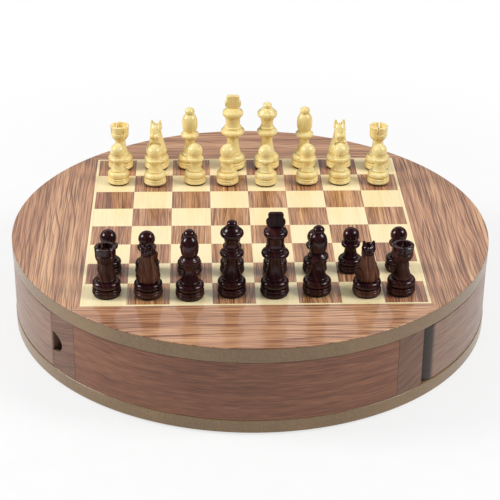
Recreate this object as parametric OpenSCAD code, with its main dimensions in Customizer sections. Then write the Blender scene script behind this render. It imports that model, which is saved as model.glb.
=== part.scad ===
// Round chess box: a veneered board on a turned case, two swing-out drawers and a set of 32 men.
// Millimetres, +Z up. The origin is the middle of the base, at the underside of the felt pads.
// The board is square to X and Y, and the case below it is turned a little against the board.

/* [Case] */
// Diameter of the case across its two panels
case_d = 300; // [290:1:320]
// Thickness of the top panel below its veneer
top_panel_t = 9; // [7:0.5:12]
// Thickness of the bottom panel
bottom_panel_t = 8.4; // [7:0.2:12]
// Height between the two panels
wall_h = 38; // [36:1:46]
// Thickness of the curved walls and of the drawer fronts
wall_t = 8; // [6:0.5:9]
// Step from the edge of the panels back to the walls
wall_step = 0.3; // [0.1:0.1:1]
// Angle of the case against the board
case_turn = -6.4; // [-20:0.2:20]
// Chamfer that breaks the edges of the panels
edge_break = 0.5; // [0.2:0.1:1]
// Thickness of the partition between the drawers
partition_t = 5; // [3:0.5:8]

/* [Feet] */
// Diameter of a felt pad under the base
pad_d = 22; // [12:1:30]
// Thickness of a felt pad
pad_t = 1.2; // [0.8:0.1:3]
// Distance of the pads from the middle of the base
pad_reach = 122; // [100:1:125]

/* [Pillars] */
// Width along the rim of a pillar that holds a finger notch
notch_pillar_w = 21; // [18:0.5:26]
// Width along the rim of a pillar beside a drawer's pivot
pivot_pillar_w = 19.4; // [16:0.2:24]
// Depth of the pillars, from the wall's face inwards
pillar_depth = 18; // [14:0.5:20]
// Height of the finger notch, a groove of round section across the flat side of its pillar
notch_h = 13; // [9:0.5:16]
// Depth of the finger notch, from the flat side of its pillar
notch_depth = 6.9; // [5:0.1:7.5]
// Height of the middle of the finger notch above the bottom panel
notch_z = 18.6; // [12:0.2:24]

/* [Drawers] */
// Angle that a drawer front takes up on the rim
drawer_angle = 86.8; // [80:0.2:90]
// Diameter of the round nose at the pivot end of a drawer front
nose_d = 16.4; // [14:0.2:18]
// Gap between the round nose and the pillar beside it
nose_gap = 0.4; // [0.3:0.1:1]
// Gap between the free end of a drawer and its pillar
end_gap = 0.5; // [0.3:0.1:1]
// Gap above a drawer front
top_gap = 0.7; // [0.4:0.1:1.5]
// Gap below a drawer front
bottom_gap = 0.6; // [0.4:0.1:1.5]
// Thickness of the walls of a drawer
tray_wall_t = 4; // [3:0.5:6]
// Thickness of the floor of a drawer
tray_floor_t = 3; // [2:0.5:5]
// Step from the top of a drawer front down to its walls
tray_drop = 4; // [1:0.5:10]
// Gap between a drawer's walls and the fixed parts of the case
tray_gap = 1; // [0.5:0.1:3]
// Room behind the end of a drawer front for a fingertip
finger_room = 9; // [7:0.5:14]
// Thickness of the felt on a drawer's floor
lining_t = 1; // [0.5:0.1:2]
// Gap round the felt on a drawer's floor
lining_gap = 0.3; // [0.1:0.1:1]

/* [Pivots] */
// Diameter of the steel pin of a drawer
pin_d = 4; // [3:0.5:6]
// Depth of the pin's seats in the two panels
pin_seat = 5; // [3:0.5:6]
// Clearance round the pin in the drawer front
pin_clearance = 0.05; // [0.02:0.01:0.1]
// Clearance round the pin in its seats
seat_clearance = 0.02; // [0.01:0.01:0.05]
// Outer diameter of the washer under a drawer
washer_d = 14; // [10:0.5:16]
// Gap between the washer and the drawer
washer_gap = 0.05; // [0.02:0.01:0.2]

/* [Board] */
// Side of one square of the board
square = 25; // [22:0.5:25]
// Thickness of the veneer
veneer_t = 0.6; // [0.5:0.1:1.2]
// Width of the light strip round the squares
string_w = 1.7; // [1:0.1:4]
// Width of the joint between two pieces of veneer
joint_w = 0.04; // [0.02:0.01:0.1]

/* [Men] */
// Diameter of the foot of the larger men
foot_d = 17; // [14:0.2:18]
// Height of the flat ring at the bottom of the foot
foot_ring_h = 2.7; // [2:0.1:4]
// Height of the thin bead above the ring
foot_bead_h = 1.6; // [1:0.1:2.4]
// Height of the round torus above the bead
foot_torus_h = 4.9; // [3.6:0.1:5.4]
// Thickness of the felt under a man
felt_t = 1; // [0.3:0.1:1.4]
// Step from the edge of the foot back to the felt
felt_step = 0.8; // [0.4:0.1:2]
// Thickness of the glue between a man and its felt
glue_t = 0.02; // [0.01:0.01:0.05]

/* [Pawn] */
// Height of a pawn
pawn_h = 28; // [27:0.5:31]
// Diameter of a pawn's foot
pawn_foot_d = 14.8; // [12:0.2:16]
// Height of a pawn's foot as a share of the king's
pawn_foot_ratio = 0.86; // [0.75:0.01:0.95]
// Diameter of a pawn's stem at its thinnest
pawn_stem_d = 7; // [5:0.2:7.4]
// Height of the middle of a pawn's collar
pawn_collar_z = 17.5; // [16:0.1:18]
// Diameter of a pawn's collar
pawn_collar_d = 11.4; // [9.6:0.2:12.4]
// Diameter of a pawn's ball
pawn_ball_d = 10; // [8:0.2:10.4]

/* [Rook] */
// Height of a rook
rook_h = 31.2; // [30:0.2:36]
// Height of a rook's foot as a share of the king's
rook_foot_ratio = 0.96; // [0.85:0.01:1]
// Diameter of a rook's stem at its thinnest
rook_stem_d = 7.4; // [6:0.2:9]
// Diameter of a rook's tower
rook_tower_d = 12.6; // [11:0.2:14]
// Height of a rook's tower
rook_tower_h = 4.8; // [3.4:0.2:6]
// Height of the cup under a rook's tower
rook_cup_h = 5.4; // [4:0.2:7]
// Diameter of the hollow in a rook's top
rook_hollow_d = 8.8; // [6:0.2:9.4]
// Depth of the hollow in a rook's top
rook_hollow_h = 3; // [1:0.2:3]
// Width of the slots in a rook's battlement
rook_slot_w = 1.4; // [0.8:0.1:2.8]

/* [Knight] */
// Height of a knight
knight_h = 34.4; // [33:0.2:38]
// Height of a knight's foot as a share of the king's
knight_foot_ratio = 0.92; // [0.85:0.01:1]
// Diameter of a knight's body, where it stands on the foot
knight_body_d = 13.8; // [12:0.2:15]
// Diameter of a knight's neck between the ears and the body
knight_neck_d = 7.4; // [6:0.2:8]
// Width of a knight's face
knight_face_w = 6.6; // [5:0.2:7]
// Width of the gap between a knight's ears
knight_ear_gap = 3; // [1:0.2:4]
// Depth of the gap between a knight's ears
knight_ear_h = 2.2; // [1:0.2:3]

/* [Bishop] */
// Height of a bishop
bishop_h = 43.2; // [42.4:0.2:48]
// Height of a bishop's foot as a share of the king's
bishop_foot_ratio = 0.9; // [0.85:0.01:1]
// Diameter of a bishop's stem at its thinnest
bishop_stem_d = 6.8; // [5:0.2:7.6]
// Height of the middle of a bishop's collar
bishop_collar_z = 23.5; // [21:0.1:24.5]
// Diameter of a bishop's collar
bishop_collar_d = 12.4; // [11:0.2:14]
// Diameter of a bishop's mitre
bishop_mitre_d = 10.6; // [8.4:0.2:11.4]
// Diameter of the button on a bishop's mitre
bishop_button_d = 6.8; // [5.6:0.2:7.4]

/* [Queen] */
// Height of a queen
queen_h = 47.4; // [46.6:0.2:52]
// Height of a queen's foot as a share of the king's
queen_foot_ratio = 0.96; // [0.85:0.01:1]
// Diameter of a queen's stem at its thinnest
queen_stem_d = 7.6; // [6:0.2:8.4]
// Height of the middle of a queen's collar
queen_collar_z = 26.4; // [24:0.1:27]
// Diameter of a queen's collar
queen_collar_d = 14; // [12:0.2:15]
// Diameter of a queen's waist, between its collar and its crown
queen_waist_d = 8; // [6.4:0.2:9]
// Diameter of a queen's crown
queen_crown_d = 13.6; // [12:0.2:15]
// Diameter of the ball on a queen's crown
queen_ball_d = 6.1; // [5:0.1:6.8]

/* [King] */
// Height of a king
king_h = 52.6; // [52:0.2:58]
// Diameter of a king's stem at its thinnest
king_stem_d = 7.9; // [6.4:0.1:9]
// Height of the middle of a king's collar
king_collar_z = 26.8; // [24:0.1:27.4]
// Diameter of a king's collar
king_collar_d = 16.2; // [14:0.2:17.4]
// Diameter of a king's waist, between its collar and its crown
king_waist_d = 9.8; // [8:0.2:10.6]
// Diameter of a king's crown
king_crown_d = 14.2; // [12.4:0.2:15]
// Height of the cross on a king's crown
king_cross_h = 9.2; // [8:0.2:10]
// Width of the cross on a king's crown
king_cross_w = 11.2; // [9:0.2:12.6]
// Thickness of the cross on a king's crown
king_cross_t = 3.4; // [2.6:0.2:4.4]

/* [Hidden] */
BOX_NODES = [
  "top_panel", "bottom_panel", "base_pads",
  "light_squares", "dark_squares", "board_stringing", "board_surround",
  "front_wall", "back_wall", "centre_partition",
  "notch_pillar_front", "notch_pillar_back", "pivot_pillar_front", "pivot_pillar_back",
  "drawer_pins", "drawer_washers",
  "right_drawer_front", "right_drawer_inner_wall", "right_drawer_pivot_wall",
  "right_drawer_end_wall", "right_drawer_floor", "right_drawer_lining",
  "left_drawer_front", "left_drawer_inner_wall", "left_drawer_pivot_wall",
  "left_drawer_end_wall", "left_drawer_floor", "left_drawer_lining"
];

$fn = 180;
MAN_FN = 48;
// Squares along one side of the board
squares = 8;
// A cut runs this far past the face that it opens
CUT = 1;
DEGREES = 180 / PI;

// Heights, from the pads up
bottom_z = pad_t;
floor_z = bottom_z + bottom_panel_t;
ceiling_z = floor_z + wall_h;
veneer_z = ceiling_z + top_panel_t;
board_z = veneer_z + veneer_t;

// Radii of the case
case_r = case_d / 2;
wall_r = case_r - wall_step;
wall_in_r = wall_r - wall_t;
pillar_in_r = wall_r - pillar_depth;

// Angles on the rim of the case, from its own X axis
half_span = drawer_angle / 2;
notch_wall_a = half_span + notch_pillar_w / wall_r * DEGREES;
pivot_wall_a = half_span + pivot_pillar_w / wall_r * DEGREES;

// The drawer's pivot: its nose is flush with the rim and stands nose_gap off the pillar
nose_r = nose_d / 2;
pivot_r = wall_r - nose_r;
pivot_a = -half_span + asin((nose_r + nose_gap) / pivot_r);
pivot = [pivot_r * cos(pivot_a), pivot_r * sin(pivot_a)];
pin_r = pin_d / 2;
// Where the block behind the nose ends and the plain curved front starts
block_a = pivot_a + nose_d / pivot_r * DEGREES;

// The free end of a drawer is an arc about the pivot that just clears the flat side of its pillar
pillar_side_y = wall_r * sin(half_span);
end_r = pillar_side_y - end_gap - pivot[1];
end_wall_r = end_r - finger_room;

// The drawer's tray, in its own case frame
tray_x = partition_t / 2 + tray_gap;
tray_y = -pillar_in_r * sin(half_span) + tray_gap;
drawer_z = floor_z + bottom_gap;
drawer_top_z = ceiling_z - top_gap;
tray_top_z = drawer_top_z - tray_drop;
tray_floor_z = drawer_z + tray_floor_t;

// The board
board_half = square * squares / 2;
string_half = board_half + string_w;

// Where each man stands: its file and rank, counted from the near left, its shift off the middle of
// the square, and the angle by which it is turned from looking straight across the board
DARK_ROW = ["rook", "knight", "bishop", "queen", "king", "bishop", "knight", "rook"];
LIGHT_ROW = ["rook", "knight", "bishop", "king", "queen", "bishop", "knight", "rook"];
FILES = ["a", "b", "c", "d", "e", "f", "g", "h"];
DARK_ROW_SHIFT = [
  [0.8, 0.6, 29], [0.1, -0.6, -32], [-0.7, -2.5, 0], [-1.3, 0.7, 0],
  [-1.3, -0.5, 0], [-1.4, 1.3, 0], [2.6, -0.8, 0], [-2.1, 0.4, 0]
];
DARK_PAWN_SHIFT = [
  [1.1, 2.6, 0], [-1.1, 0.5, 0], [-1, 0.5, 0], [-0.5, 1, 0],
  [0.2, 0.8, 0], [-1, 1.4, 0], [-4.7, 3.1, 0], [-1.1, 3.4, 0]
];
LIGHT_PAWN_SHIFT = [
  [1.6, 2.6, 0], [0.9, 0.3, 0], [2.7, 2, 0], [-0.7, 0.5, 0],
  [-0.3, -0.5, 0], [2.5, 0.8, 0], [-0.5, 1.1, 0], [0.3, -0.2, 0]
];
LIGHT_ROW_SHIFT = [
  [2, 1.5, 27], [1.5, 1.8, -10], [-0.7, 2.6, 0], [3.3, 0.9, 0],
  [1.5, 1, 0], [2, 2.9, 0], [0.7, 1.1, 5], [2, -1.4, -10]
];
function men_of(colour, kinds, rank, shifts) = [
  for (i = [0:squares - 1])
    [str(colour, "_", kinds[i], "_", FILES[i]), colour, kinds[i],
      [(i + 0.5) * square - board_half + shifts[i][0], (rank + 0.5) * square - board_half + shifts[i][1]],
      shifts[i][2]]
];
PAWNS = [for (i = [1:squares]) "pawn"];
MEN = concat(
  men_of("dark", DARK_ROW, 0, DARK_ROW_SHIFT),
  men_of("dark", PAWNS, 1, DARK_PAWN_SHIFT),
  men_of("light", PAWNS, squares - 2, LIGHT_PAWN_SHIFT),
  men_of("light", LIGHT_ROW, squares - 1, LIGHT_ROW_SHIFT)
);

// ---- Frames and plain shapes ----

module in_case() {
  rotate([0, 0, case_turn]) children();
}

// The left drawer and everything round it is the right one after half a turn
module other_side() {
  rotate([0, 0, 180]) children();
}

module at_pivot() {
  translate([pivot[0], pivot[1], 0]) children();
}

// A flat slice of the plane from angle a to angle b, wider than the case
module sector(a, b) {
  reach = case_r * 2;
  middle = (a + b) / 2;
  polygon([
    [0, 0],
    reach * [cos(a), sin(a)],
    reach * [cos(middle), sin(middle)],
    reach * [cos(b), sin(b)]
  ]);
}

module ring_sector(r_out, r_in, a, b) {
  intersection() {
    difference() {
      circle(r = r_out);
      circle(r = r_in);
    }
    sector(a, b);
  }
}

// A disc with both edges broken, from z 0 up
module broken_disc(r, h) {
  rotate_extrude()
    polygon([
      [0, 0], [r - edge_break, 0], [r, edge_break],
      [r, h - edge_break], [r - edge_break, h], [0, h]
    ]);
}

// The seats of the two drawer pins, through the plane z, as deep as pin_seat either way
module pin_seats(z) {
  in_case()
    for (turn = [0, 180])
      rotate([0, 0, turn])
        at_pivot()
          translate([0, 0, z - pin_seat])
            cylinder(r = pin_r + seat_clearance, h = pin_seat * 2);
}

// ---- Case ----

module top_panel() {
  color("#7b6a56")
    difference() {
      translate([0, 0, ceiling_z])
        rotate_extrude()
          polygon([
            [0, 0], [case_r - edge_break, 0], [case_r, edge_break],
            [case_r, top_panel_t], [0, top_panel_t]
          ]);
      pin_seats(ceiling_z);
    }
}

module bottom_panel() {
  color("#7b6a56")
    difference() {
      translate([0, 0, bottom_z]) broken_disc(case_r, bottom_panel_t);
      pin_seats(floor_z);
    }
}

module base_pads() {
  color("#3c3a36")
    in_case()
      for (turn = [45:90:315])
        rotate([0, 0, turn])
          translate([pad_reach, 0, 0])
            cylinder(d = pad_d, h = pad_t);
}

module case_wall() {
  color("#79574a")
    translate([0, 0, floor_z])
      linear_extrude(wall_h)
        ring_sector(wall_r, wall_in_r, notch_wall_a, 180 - pivot_wall_a);
}

module back_wall() {
  in_case() case_wall();
}

module front_wall() {
  in_case() other_side() case_wall();
}

module centre_partition() {
  color("#b89a78")
    in_case()
      translate([0, 0, floor_z])
        linear_extrude(wall_h)
          intersection() {
            circle(r = wall_in_r);
            translate([-partition_t / 2, -wall_in_r]) square([partition_t, wall_in_r * 2]);
          }
}

// ---- Pillars ----

// The finger notch runs along the flat side of the pillar, from the rim right through to the
// room behind the end of the drawer front
module notch_cut() {
  round_r = notch_h / 2;
  translate([0, pillar_side_y, floor_z + notch_z])
    rotate([0, 90, 0])
      linear_extrude(case_r) {
        translate([0, notch_depth - round_r]) circle(r = round_r);
        translate([-round_r, -notch_h]) square([notch_h, notch_h + notch_depth - round_r]);
      }
}

module notch_pillar() {
  color("#87705f")
    difference() {
      translate([0, 0, floor_z])
        linear_extrude(wall_h)
          intersection() {
            ring_sector(wall_r, pillar_in_r, 0, notch_wall_a);
            translate([0, pillar_side_y]) square(case_r);
          }
      notch_cut();
    }
}

module pivot_pillar() {
  color("#87705f")
    translate([0, 0, floor_z])
      linear_extrude(wall_h)
        ring_sector(wall_r, pillar_in_r, -pivot_wall_a, -half_span);
}

module notch_pillar_back() {
  in_case() notch_pillar();
}

module notch_pillar_front() {
  in_case() other_side() notch_pillar();
}

module pivot_pillar_front() {
  in_case() pivot_pillar();
}

module pivot_pillar_back() {
  in_case() other_side() pivot_pillar();
}

// ---- Pivots ----

module drawer_pins() {
  color("silver")
    in_case()
      for (turn = [0, 180])
        rotate([0, 0, turn])
          at_pivot()
            translate([0, 0, floor_z - pin_seat])
              cylinder(r = pin_r, h = wall_h + pin_seat * 2);
}

module drawer_washers() {
  color("#d8d2c4")
    in_case()
      for (turn = [0, 180])
        rotate([0, 0, turn])
          at_pivot()
            translate([0, 0, floor_z])
              difference() {
                cylinder(d = washer_d, h = bottom_gap - washer_gap);
                translate([0, 0, -CUT])
                  cylinder(r = pin_r + pin_clearance, h = bottom_gap + CUT * 2);
              }
}

// ---- Drawers ----

// The curved front, its round nose at the pivot and the block that joins them
module front_plan() {
  intersection() {
    ring_sector(wall_r, wall_in_r, pivot_a, half_span);
    at_pivot() circle(r = end_r);
  }
  ring_sector(wall_r, wall_r - nose_d, pivot_a, block_a);
  at_pivot() circle(r = nose_r);
}

// Everything that the drawer's walls and floor may cover
module tray_plan() {
  difference() {
    intersection() {
      circle(r = wall_in_r);
      at_pivot() circle(r = end_wall_r);
      translate([tray_x, tray_y]) square(case_d);
    }
    front_plan();
  }
}

module tray_part(z, h) {
  translate([0, 0, z]) linear_extrude(h) children();
}

module drawer_front() {
  color("#96766a")
    difference() {
      tray_part(drawer_z, drawer_top_z - drawer_z) front_plan();
      at_pivot()
        translate([0, 0, drawer_z - CUT])
          cylinder(r = pin_r + pin_clearance, h = wall_h + CUT * 2);
    }
}

module drawer_inner_wall() {
  color("#cdb48e")
    tray_part(tray_floor_z, tray_top_z - tray_floor_z)
      intersection() {
        tray_plan();
        translate([tray_x, tray_y]) square([tray_wall_t, case_d]);
      }
}

module drawer_pivot_wall() {
  color("#cdb48e")
    tray_part(tray_floor_z, tray_top_z - tray_floor_z)
      intersection() {
        tray_plan();
        translate([tray_x + tray_wall_t, tray_y]) square([case_r, tray_wall_t]);
      }
}

module drawer_end_wall() {
  color("#cdb48e")
    tray_part(tray_floor_z, tray_top_z - tray_floor_z)
      difference() {
        intersection() {
          tray_plan();
          translate([tray_x + tray_wall_t, 0]) square(case_r);
        }
        at_pivot() circle(r = end_wall_r - tray_wall_t);
      }
}

module drawer_floor() {
  color("#cdb48e")
    tray_part(drawer_z, tray_floor_t) tray_plan();
}

module drawer_lining() {
  inset = tray_wall_t + lining_gap;
  color("#2f4a36")
    tray_part(tray_floor_z, lining_t)
      difference() {
        intersection() {
          circle(r = wall_in_r - lining_gap);
          at_pivot() circle(r = end_wall_r - inset);
          translate([tray_x + inset, tray_y + inset]) square(case_d);
        }
        ring_sector(case_r, wall_r - nose_d - lining_gap, -90, block_a + lining_gap / wall_r * DEGREES);
      }
}

module right_drawer_front() {
  in_case() drawer_front();
}

module right_drawer_inner_wall() {
  in_case() drawer_inner_wall();
}

module right_drawer_pivot_wall() {
  in_case() drawer_pivot_wall();
}

module right_drawer_end_wall() {
  in_case() drawer_end_wall();
}

module right_drawer_floor() {
  in_case() drawer_floor();
}

module right_drawer_lining() {
  in_case() drawer_lining();
}

module left_drawer_front() {
  in_case() other_side() drawer_front();
}

module left_drawer_inner_wall() {
  in_case() other_side() drawer_inner_wall();
}

module left_drawer_pivot_wall() {
  in_case() other_side() drawer_pivot_wall();
}

module left_drawer_end_wall() {
  in_case() other_side() drawer_end_wall();
}

module left_drawer_floor() {
  in_case() other_side() drawer_floor();
}

module left_drawer_lining() {
  in_case() other_side() drawer_lining();
}

// ---- Board ----

// The squares whose file and rank add up to an even or an odd number
module squares_of(parity) {
  for (i = [0:squares - 1])
    for (j = [0:squares - 1])
      if ((i + j) % 2 == parity)
        translate([
          i * square - board_half + joint_w / 2,
          j * square - board_half + joint_w / 2,
          veneer_z
        ])
          cube([square - joint_w, square - joint_w, veneer_t]);
}

module light_squares() {
  color("#f6ecc2") squares_of(0);
}

module dark_squares() {
  color("#a57d5a") squares_of(1);
}

// One mitred quarter of a square ring on the +Y side, from y = from to the plan that is cut
module mitred_quarter(from) {
  far = case_r * 2;
  translate([0, joint_w])
    intersection() {
      children();
      polygon([[0, 0], [far, far], [-far, far]]);
      translate([-far, from]) square([far * 2, far]);
    }
}

module board_stringing() {
  color("#f6ecc2")
    translate([0, 0, veneer_z])
      linear_extrude(veneer_t)
        for (turn = [0:90:270])
          rotate(turn)
            mitred_quarter(board_half)
              square(string_half * 2 - joint_w * 4, center = true);
}

module board_surround() {
  color("#b98f72")
    translate([0, 0, veneer_z])
      linear_extrude(veneer_t)
        for (turn = [0:90:270])
          rotate(turn)
            intersection() {
              mitred_quarter(string_half) circle(r = case_r);
              circle(r = case_r);
            }
}

// ---- Men ----

// A turned man is one outline of [radius, height] points, made of beads, balls and the curves between
// them. Only the knight's head and the king's cross are sawn.
BEAD_STEPS = 8;
CURVE_STEPS = 6;

// A ring of height h round the middle height z that reaches out to r, bulging by bulge
function bead(r, z, h, bulge) = [
  for (i = [0:BEAD_STEPS])
    let (a = 180 * i / BEAD_STEPS - 90)
      [r - bulge + bulge * cos(a), z + h / 2 * sin(a)]
];

// The inside of a curve from p to q that leaves p and meets q towards the corner c
function curve(p, c, q) = [
  for (i = [1:CURVE_STEPS - 1])
    let (t = i / CURVE_STEPS)
      (1 - t) * (1 - t) * p + 2 * t * (1 - t) * c + t * t * q
];

// A ball of radius r at height z, k times as high as it is wide, from its radius neck_r up to its top
function ball(r, z, neck_r, k) = let (a = -acos(neck_r / r)) [
  for (i = [0:BEAD_STEPS])
    let (b = a + (90 - a) * i / BEAD_STEPS)
      [i == BEAD_STEPS ? 0 : r * cos(b), z + r * k * sin(b)]
];

// How far the bead and the torus of a foot step back from its ring, and how round the three are
TORUS_STEP = 0.2;
RING_ROUND = 0.33;
TORUS_ROUND = 0.46;

// Top of a foot that is k times as high as the king's
function foot_top(k) = felt_t + k * (foot_ring_h + foot_bead_h + foot_torus_h);

function foot(r, k) = let (
  ring_h = k * foot_ring_h,
  bead_h = k * foot_bead_h,
  torus_h = k * foot_torus_h,
  ring_z = felt_t + ring_h / 2,
  bead_z = felt_t + ring_h + bead_h / 2,
  torus_z = felt_t + ring_h + bead_h + torus_h / 2
) concat(
  [[0, felt_t]],
  bead(r, ring_z, ring_h, ring_h * RING_ROUND),
  bead(r - TORUS_STEP, bead_z, bead_h, bead_h * RING_ROUND),
  bead(r - TORUS_STEP, torus_z, torus_h, torus_h * TORUS_ROUND)
);

// The stem leaves the foot over a small ridge, narrows in a hollow flare to r, and runs up to end_z.
// The ridge is set back from the foot, and the flare ends at a share of the stem's height.
RIDGE_STEP = 2.5;
RIDGE_H = 1.4;
RIDGE_BULGE = 0.5;
FLARE_CORNER = [0.3, 0.42];
FLARE_END = 0.8;
function stem(foot_r, foot_z, r, end_z) = let (
  rise = end_z - foot_z,
  ridge = bead(foot_r - RIDGE_STEP, foot_z + RIDGE_H / 2, RIDGE_H, RIDGE_BULGE),
  corner = [r + FLARE_CORNER[0], foot_z + rise * FLARE_CORNER[1]],
  flare_end = [r, foot_z + rise * FLARE_END]
) concat(ridge, curve(ridge[BEAD_STEPS], corner, flare_end), [flare_end, [r, end_z]]);

// A collar is a round edge of height h that a short curve joins to the stem below, and a hollow
// slope to the point over above. It starts the height h below its middle.
COLLAR_ROUND = 0.4;
UNDER_CORNER = [0.4, 0.55];
OVER_DROP = 0.5;
function collar(r, z, h, stem_r, over) = let (
  edge = bead(r, z, h, h * COLLAR_ROUND),
  under_corner = [stem_r + UNDER_CORNER[0], z - h * UNDER_CORNER[1]],
  over_corner = [(edge[BEAD_STEPS][0] + over[0]) / 2, over[1] - OVER_DROP]
) concat(
  curve([stem_r, z - h], under_corner, edge[0]),
  edge,
  curve(edge[BEAD_STEPS], over_corner, over),
  [over]
);

module turned(outline) {
  rotate_extrude($fn = MAN_FN) polygon(outline);
}

// Height of a pawn's collar, and how much thicker the throat over it is than the stem
PAWN_COLLAR_H = 2.6;
PAWN_THROAT_STEP = 0.7;

module pawn() {
  foot_r = pawn_foot_d / 2;
  stem_r = pawn_stem_d / 2;
  ball_r = pawn_ball_d / 2;
  ball_z = pawn_h - ball_r;
  throat = [stem_r + PAWN_THROAT_STEP, pawn_collar_z + PAWN_COLLAR_H];
  turned(concat(
    foot(foot_r, pawn_foot_ratio),
    stem(foot_r, foot_top(pawn_foot_ratio), stem_r, pawn_collar_z - PAWN_COLLAR_H),
    collar(pawn_collar_d / 2, pawn_collar_z, PAWN_COLLAR_H, stem_r, throat),
    ball(ball_r, ball_z, throat[0], 1)
  ));
}

// The groove between a rook's cup and its tower, and the rounding of the tower's rim
ROOK_GROOVE = 0.5;
ROOK_RIM = 0.3;
// The corner that the cup's side bends towards, as shares of its width and height
CUP_CORNER = [0.88, 0.32];
// How much of the cup's height is upright, under the groove
CUP_LIP = 0.25;
// How far above the floor of the hollow the slots end
SLOT_SILL = 0.2;

module rook() {
  foot_r = foot_d / 2;
  stem_r = rook_stem_d / 2;
  tower_r = rook_tower_d / 2;
  cup_r = tower_r - ROOK_GROOVE / 2;
  groove_z = rook_h - rook_tower_h;
  cup_z = groove_z - rook_cup_h;
  cup_top = groove_z - rook_cup_h * CUP_LIP;
  hollow_z = rook_h - rook_hollow_h;
  cup_corner = [stem_r + (cup_r - stem_r) * CUP_CORNER[0], cup_z + (cup_top - cup_z) * CUP_CORNER[1]];
  difference() {
    turned(concat(
      foot(foot_r, rook_foot_ratio),
      stem(foot_r, foot_top(rook_foot_ratio), stem_r, cup_z),
      curve([stem_r, cup_z], cup_corner, [cup_r, cup_top]),
      [
        [cup_r, cup_top], [cup_r, groove_z - ROOK_GROOVE], [cup_r - ROOK_GROOVE, groove_z],
        [cup_r, groove_z + ROOK_GROOVE], [tower_r, rook_h - ROOK_RIM], [tower_r - ROOK_RIM, rook_h],
        [rook_hollow_d / 2, rook_h], [rook_hollow_d / 2, hollow_z], [0, hollow_z]
      ]
    ));
    for (turn = [0, 90])
      rotate([0, 0, turn])
        translate([-rook_tower_d, -rook_slot_w / 2, hollow_z + SLOT_SILL])
          cube([rook_tower_d * 2, rook_slot_w, rook_hollow_h + CUT]);
  }
}

BISHOP_COLLAR_H = 2.9;
// The mitre stands on a throat this much thicker than the stem, this far over the collar's middle
BISHOP_THROAT = [0.4, 2.6];
// A bishop's button is a flat ball, on a neck of this share of its radius
BUTTON_FLAT = 0.82;
BUTTON_NECK = 0.8;
// Height of the widest part of the mitre, as a share of the mitre's height, and how far from its two
// ends the corners are that its curves bend towards
MITRE_WIDEST = 0.5;
MITRE_CORNERS = [1.7, 2];

module bishop() {
  foot_r = foot_d / 2;
  stem_r = bishop_stem_d / 2;
  mitre_r = bishop_mitre_d / 2;
  button_r = bishop_button_d / 2;
  button_z = bishop_h - button_r * BUTTON_FLAT;
  neck = [button_r * BUTTON_NECK, button_z - button_r * BUTTON_FLAT * sin(acos(BUTTON_NECK))];
  throat = [stem_r + BISHOP_THROAT[0], bishop_collar_z + BISHOP_THROAT[1]];
  mitre_z = throat[1] + (neck[1] - throat[1]) * MITRE_WIDEST;
  turned(concat(
    foot(foot_r, bishop_foot_ratio),
    stem(foot_r, foot_top(bishop_foot_ratio), stem_r, bishop_collar_z - BISHOP_COLLAR_H),
    collar(bishop_collar_d / 2, bishop_collar_z, BISHOP_COLLAR_H, stem_r, throat),
    curve(throat, [mitre_r, throat[1] + MITRE_CORNERS[0]], [mitre_r, mitre_z]),
    [[mitre_r, mitre_z]],
    curve([mitre_r, mitre_z], [mitre_r, neck[1] - MITRE_CORNERS[1]], neck),
    ball(button_r, button_z, neck[0], BUTTON_FLAT)
  ));
}

// A queen or a king has a ring on its collar, then a waist that widens into the crown.
// Radius that the ring stands out over the waist, its height, and how round it is
RING_OUT = 1;
RING_H = 1.5;
RING_BULGE = 0.6;
CROWN_H = 4;
CROWN_ROUND = 0.36;
COLLAR_H = 3.2;
// From the middle of the collar up to the middle of the ring, and from there up to the waist
RING_RISE = 3.3;
WAIST_RISE = 3.3;
// The corner that the waist bends towards below the crown: out of the waist, and below the crown
CROWN_CORNER = [0.3, 1];
function ring_and_crown(waist_r, collar_z, crown_r, crown_z) = let (
  ring = bead(waist_r + RING_OUT, collar_z + RING_RISE, RING_H, RING_BULGE),
  waist = [waist_r, collar_z + RING_RISE + WAIST_RISE],
  crown = bead(crown_r, crown_z, CROWN_H, CROWN_H * CROWN_ROUND)
) concat(
  ring,
  curve(ring[BEAD_STEPS], [waist_r, ring[BEAD_STEPS][1] + RING_BULGE], waist),
  [waist],
  curve(waist, [waist_r + CROWN_CORNER[0], crown[0][1] - CROWN_CORNER[1]], crown[0]),
  crown
);

// A queen's ball is a little flat. Its crown is a dome, this high from its middle up to the ball, and
// the dome's curve bends towards a corner this far below its top
QUEEN_BALL_FLAT = 0.72;
QUEEN_DOME_H = 4.6;
DOME_DROP = 0.6;

module queen() {
  foot_r = foot_d / 2;
  stem_r = queen_stem_d / 2;
  waist_r = queen_waist_d / 2;
  ball_r = queen_ball_d / 2;
  ball_z = queen_h - ball_r * QUEEN_BALL_FLAT;
  neck_r = ball_r * BUTTON_NECK;
  neck_z = ball_z - ball_r * QUEEN_BALL_FLAT * sin(acos(BUTTON_NECK));
  crown_z = neck_z - QUEEN_DOME_H;
  dome_start = [queen_crown_d / 2 - CROWN_H * CROWN_ROUND, crown_z + CROWN_H / 2];
  turned(concat(
    foot(foot_r, queen_foot_ratio),
    stem(foot_r, foot_top(queen_foot_ratio), stem_r, queen_collar_z - COLLAR_H),
    collar(
      queen_collar_d / 2, queen_collar_z, COLLAR_H, stem_r,
      [waist_r + RING_BULGE, queen_collar_z + RING_RISE - RING_H / 2]
    ),
    ring_and_crown(waist_r, queen_collar_z, queen_crown_d / 2, crown_z),
    curve(dome_start, [dome_start[0] * BUTTON_NECK, neck_z - DOME_DROP], [neck_r, neck_z]),
    ball(ball_r, ball_z, neck_r, QUEEN_BALL_FLAT)
  ));
}

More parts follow.
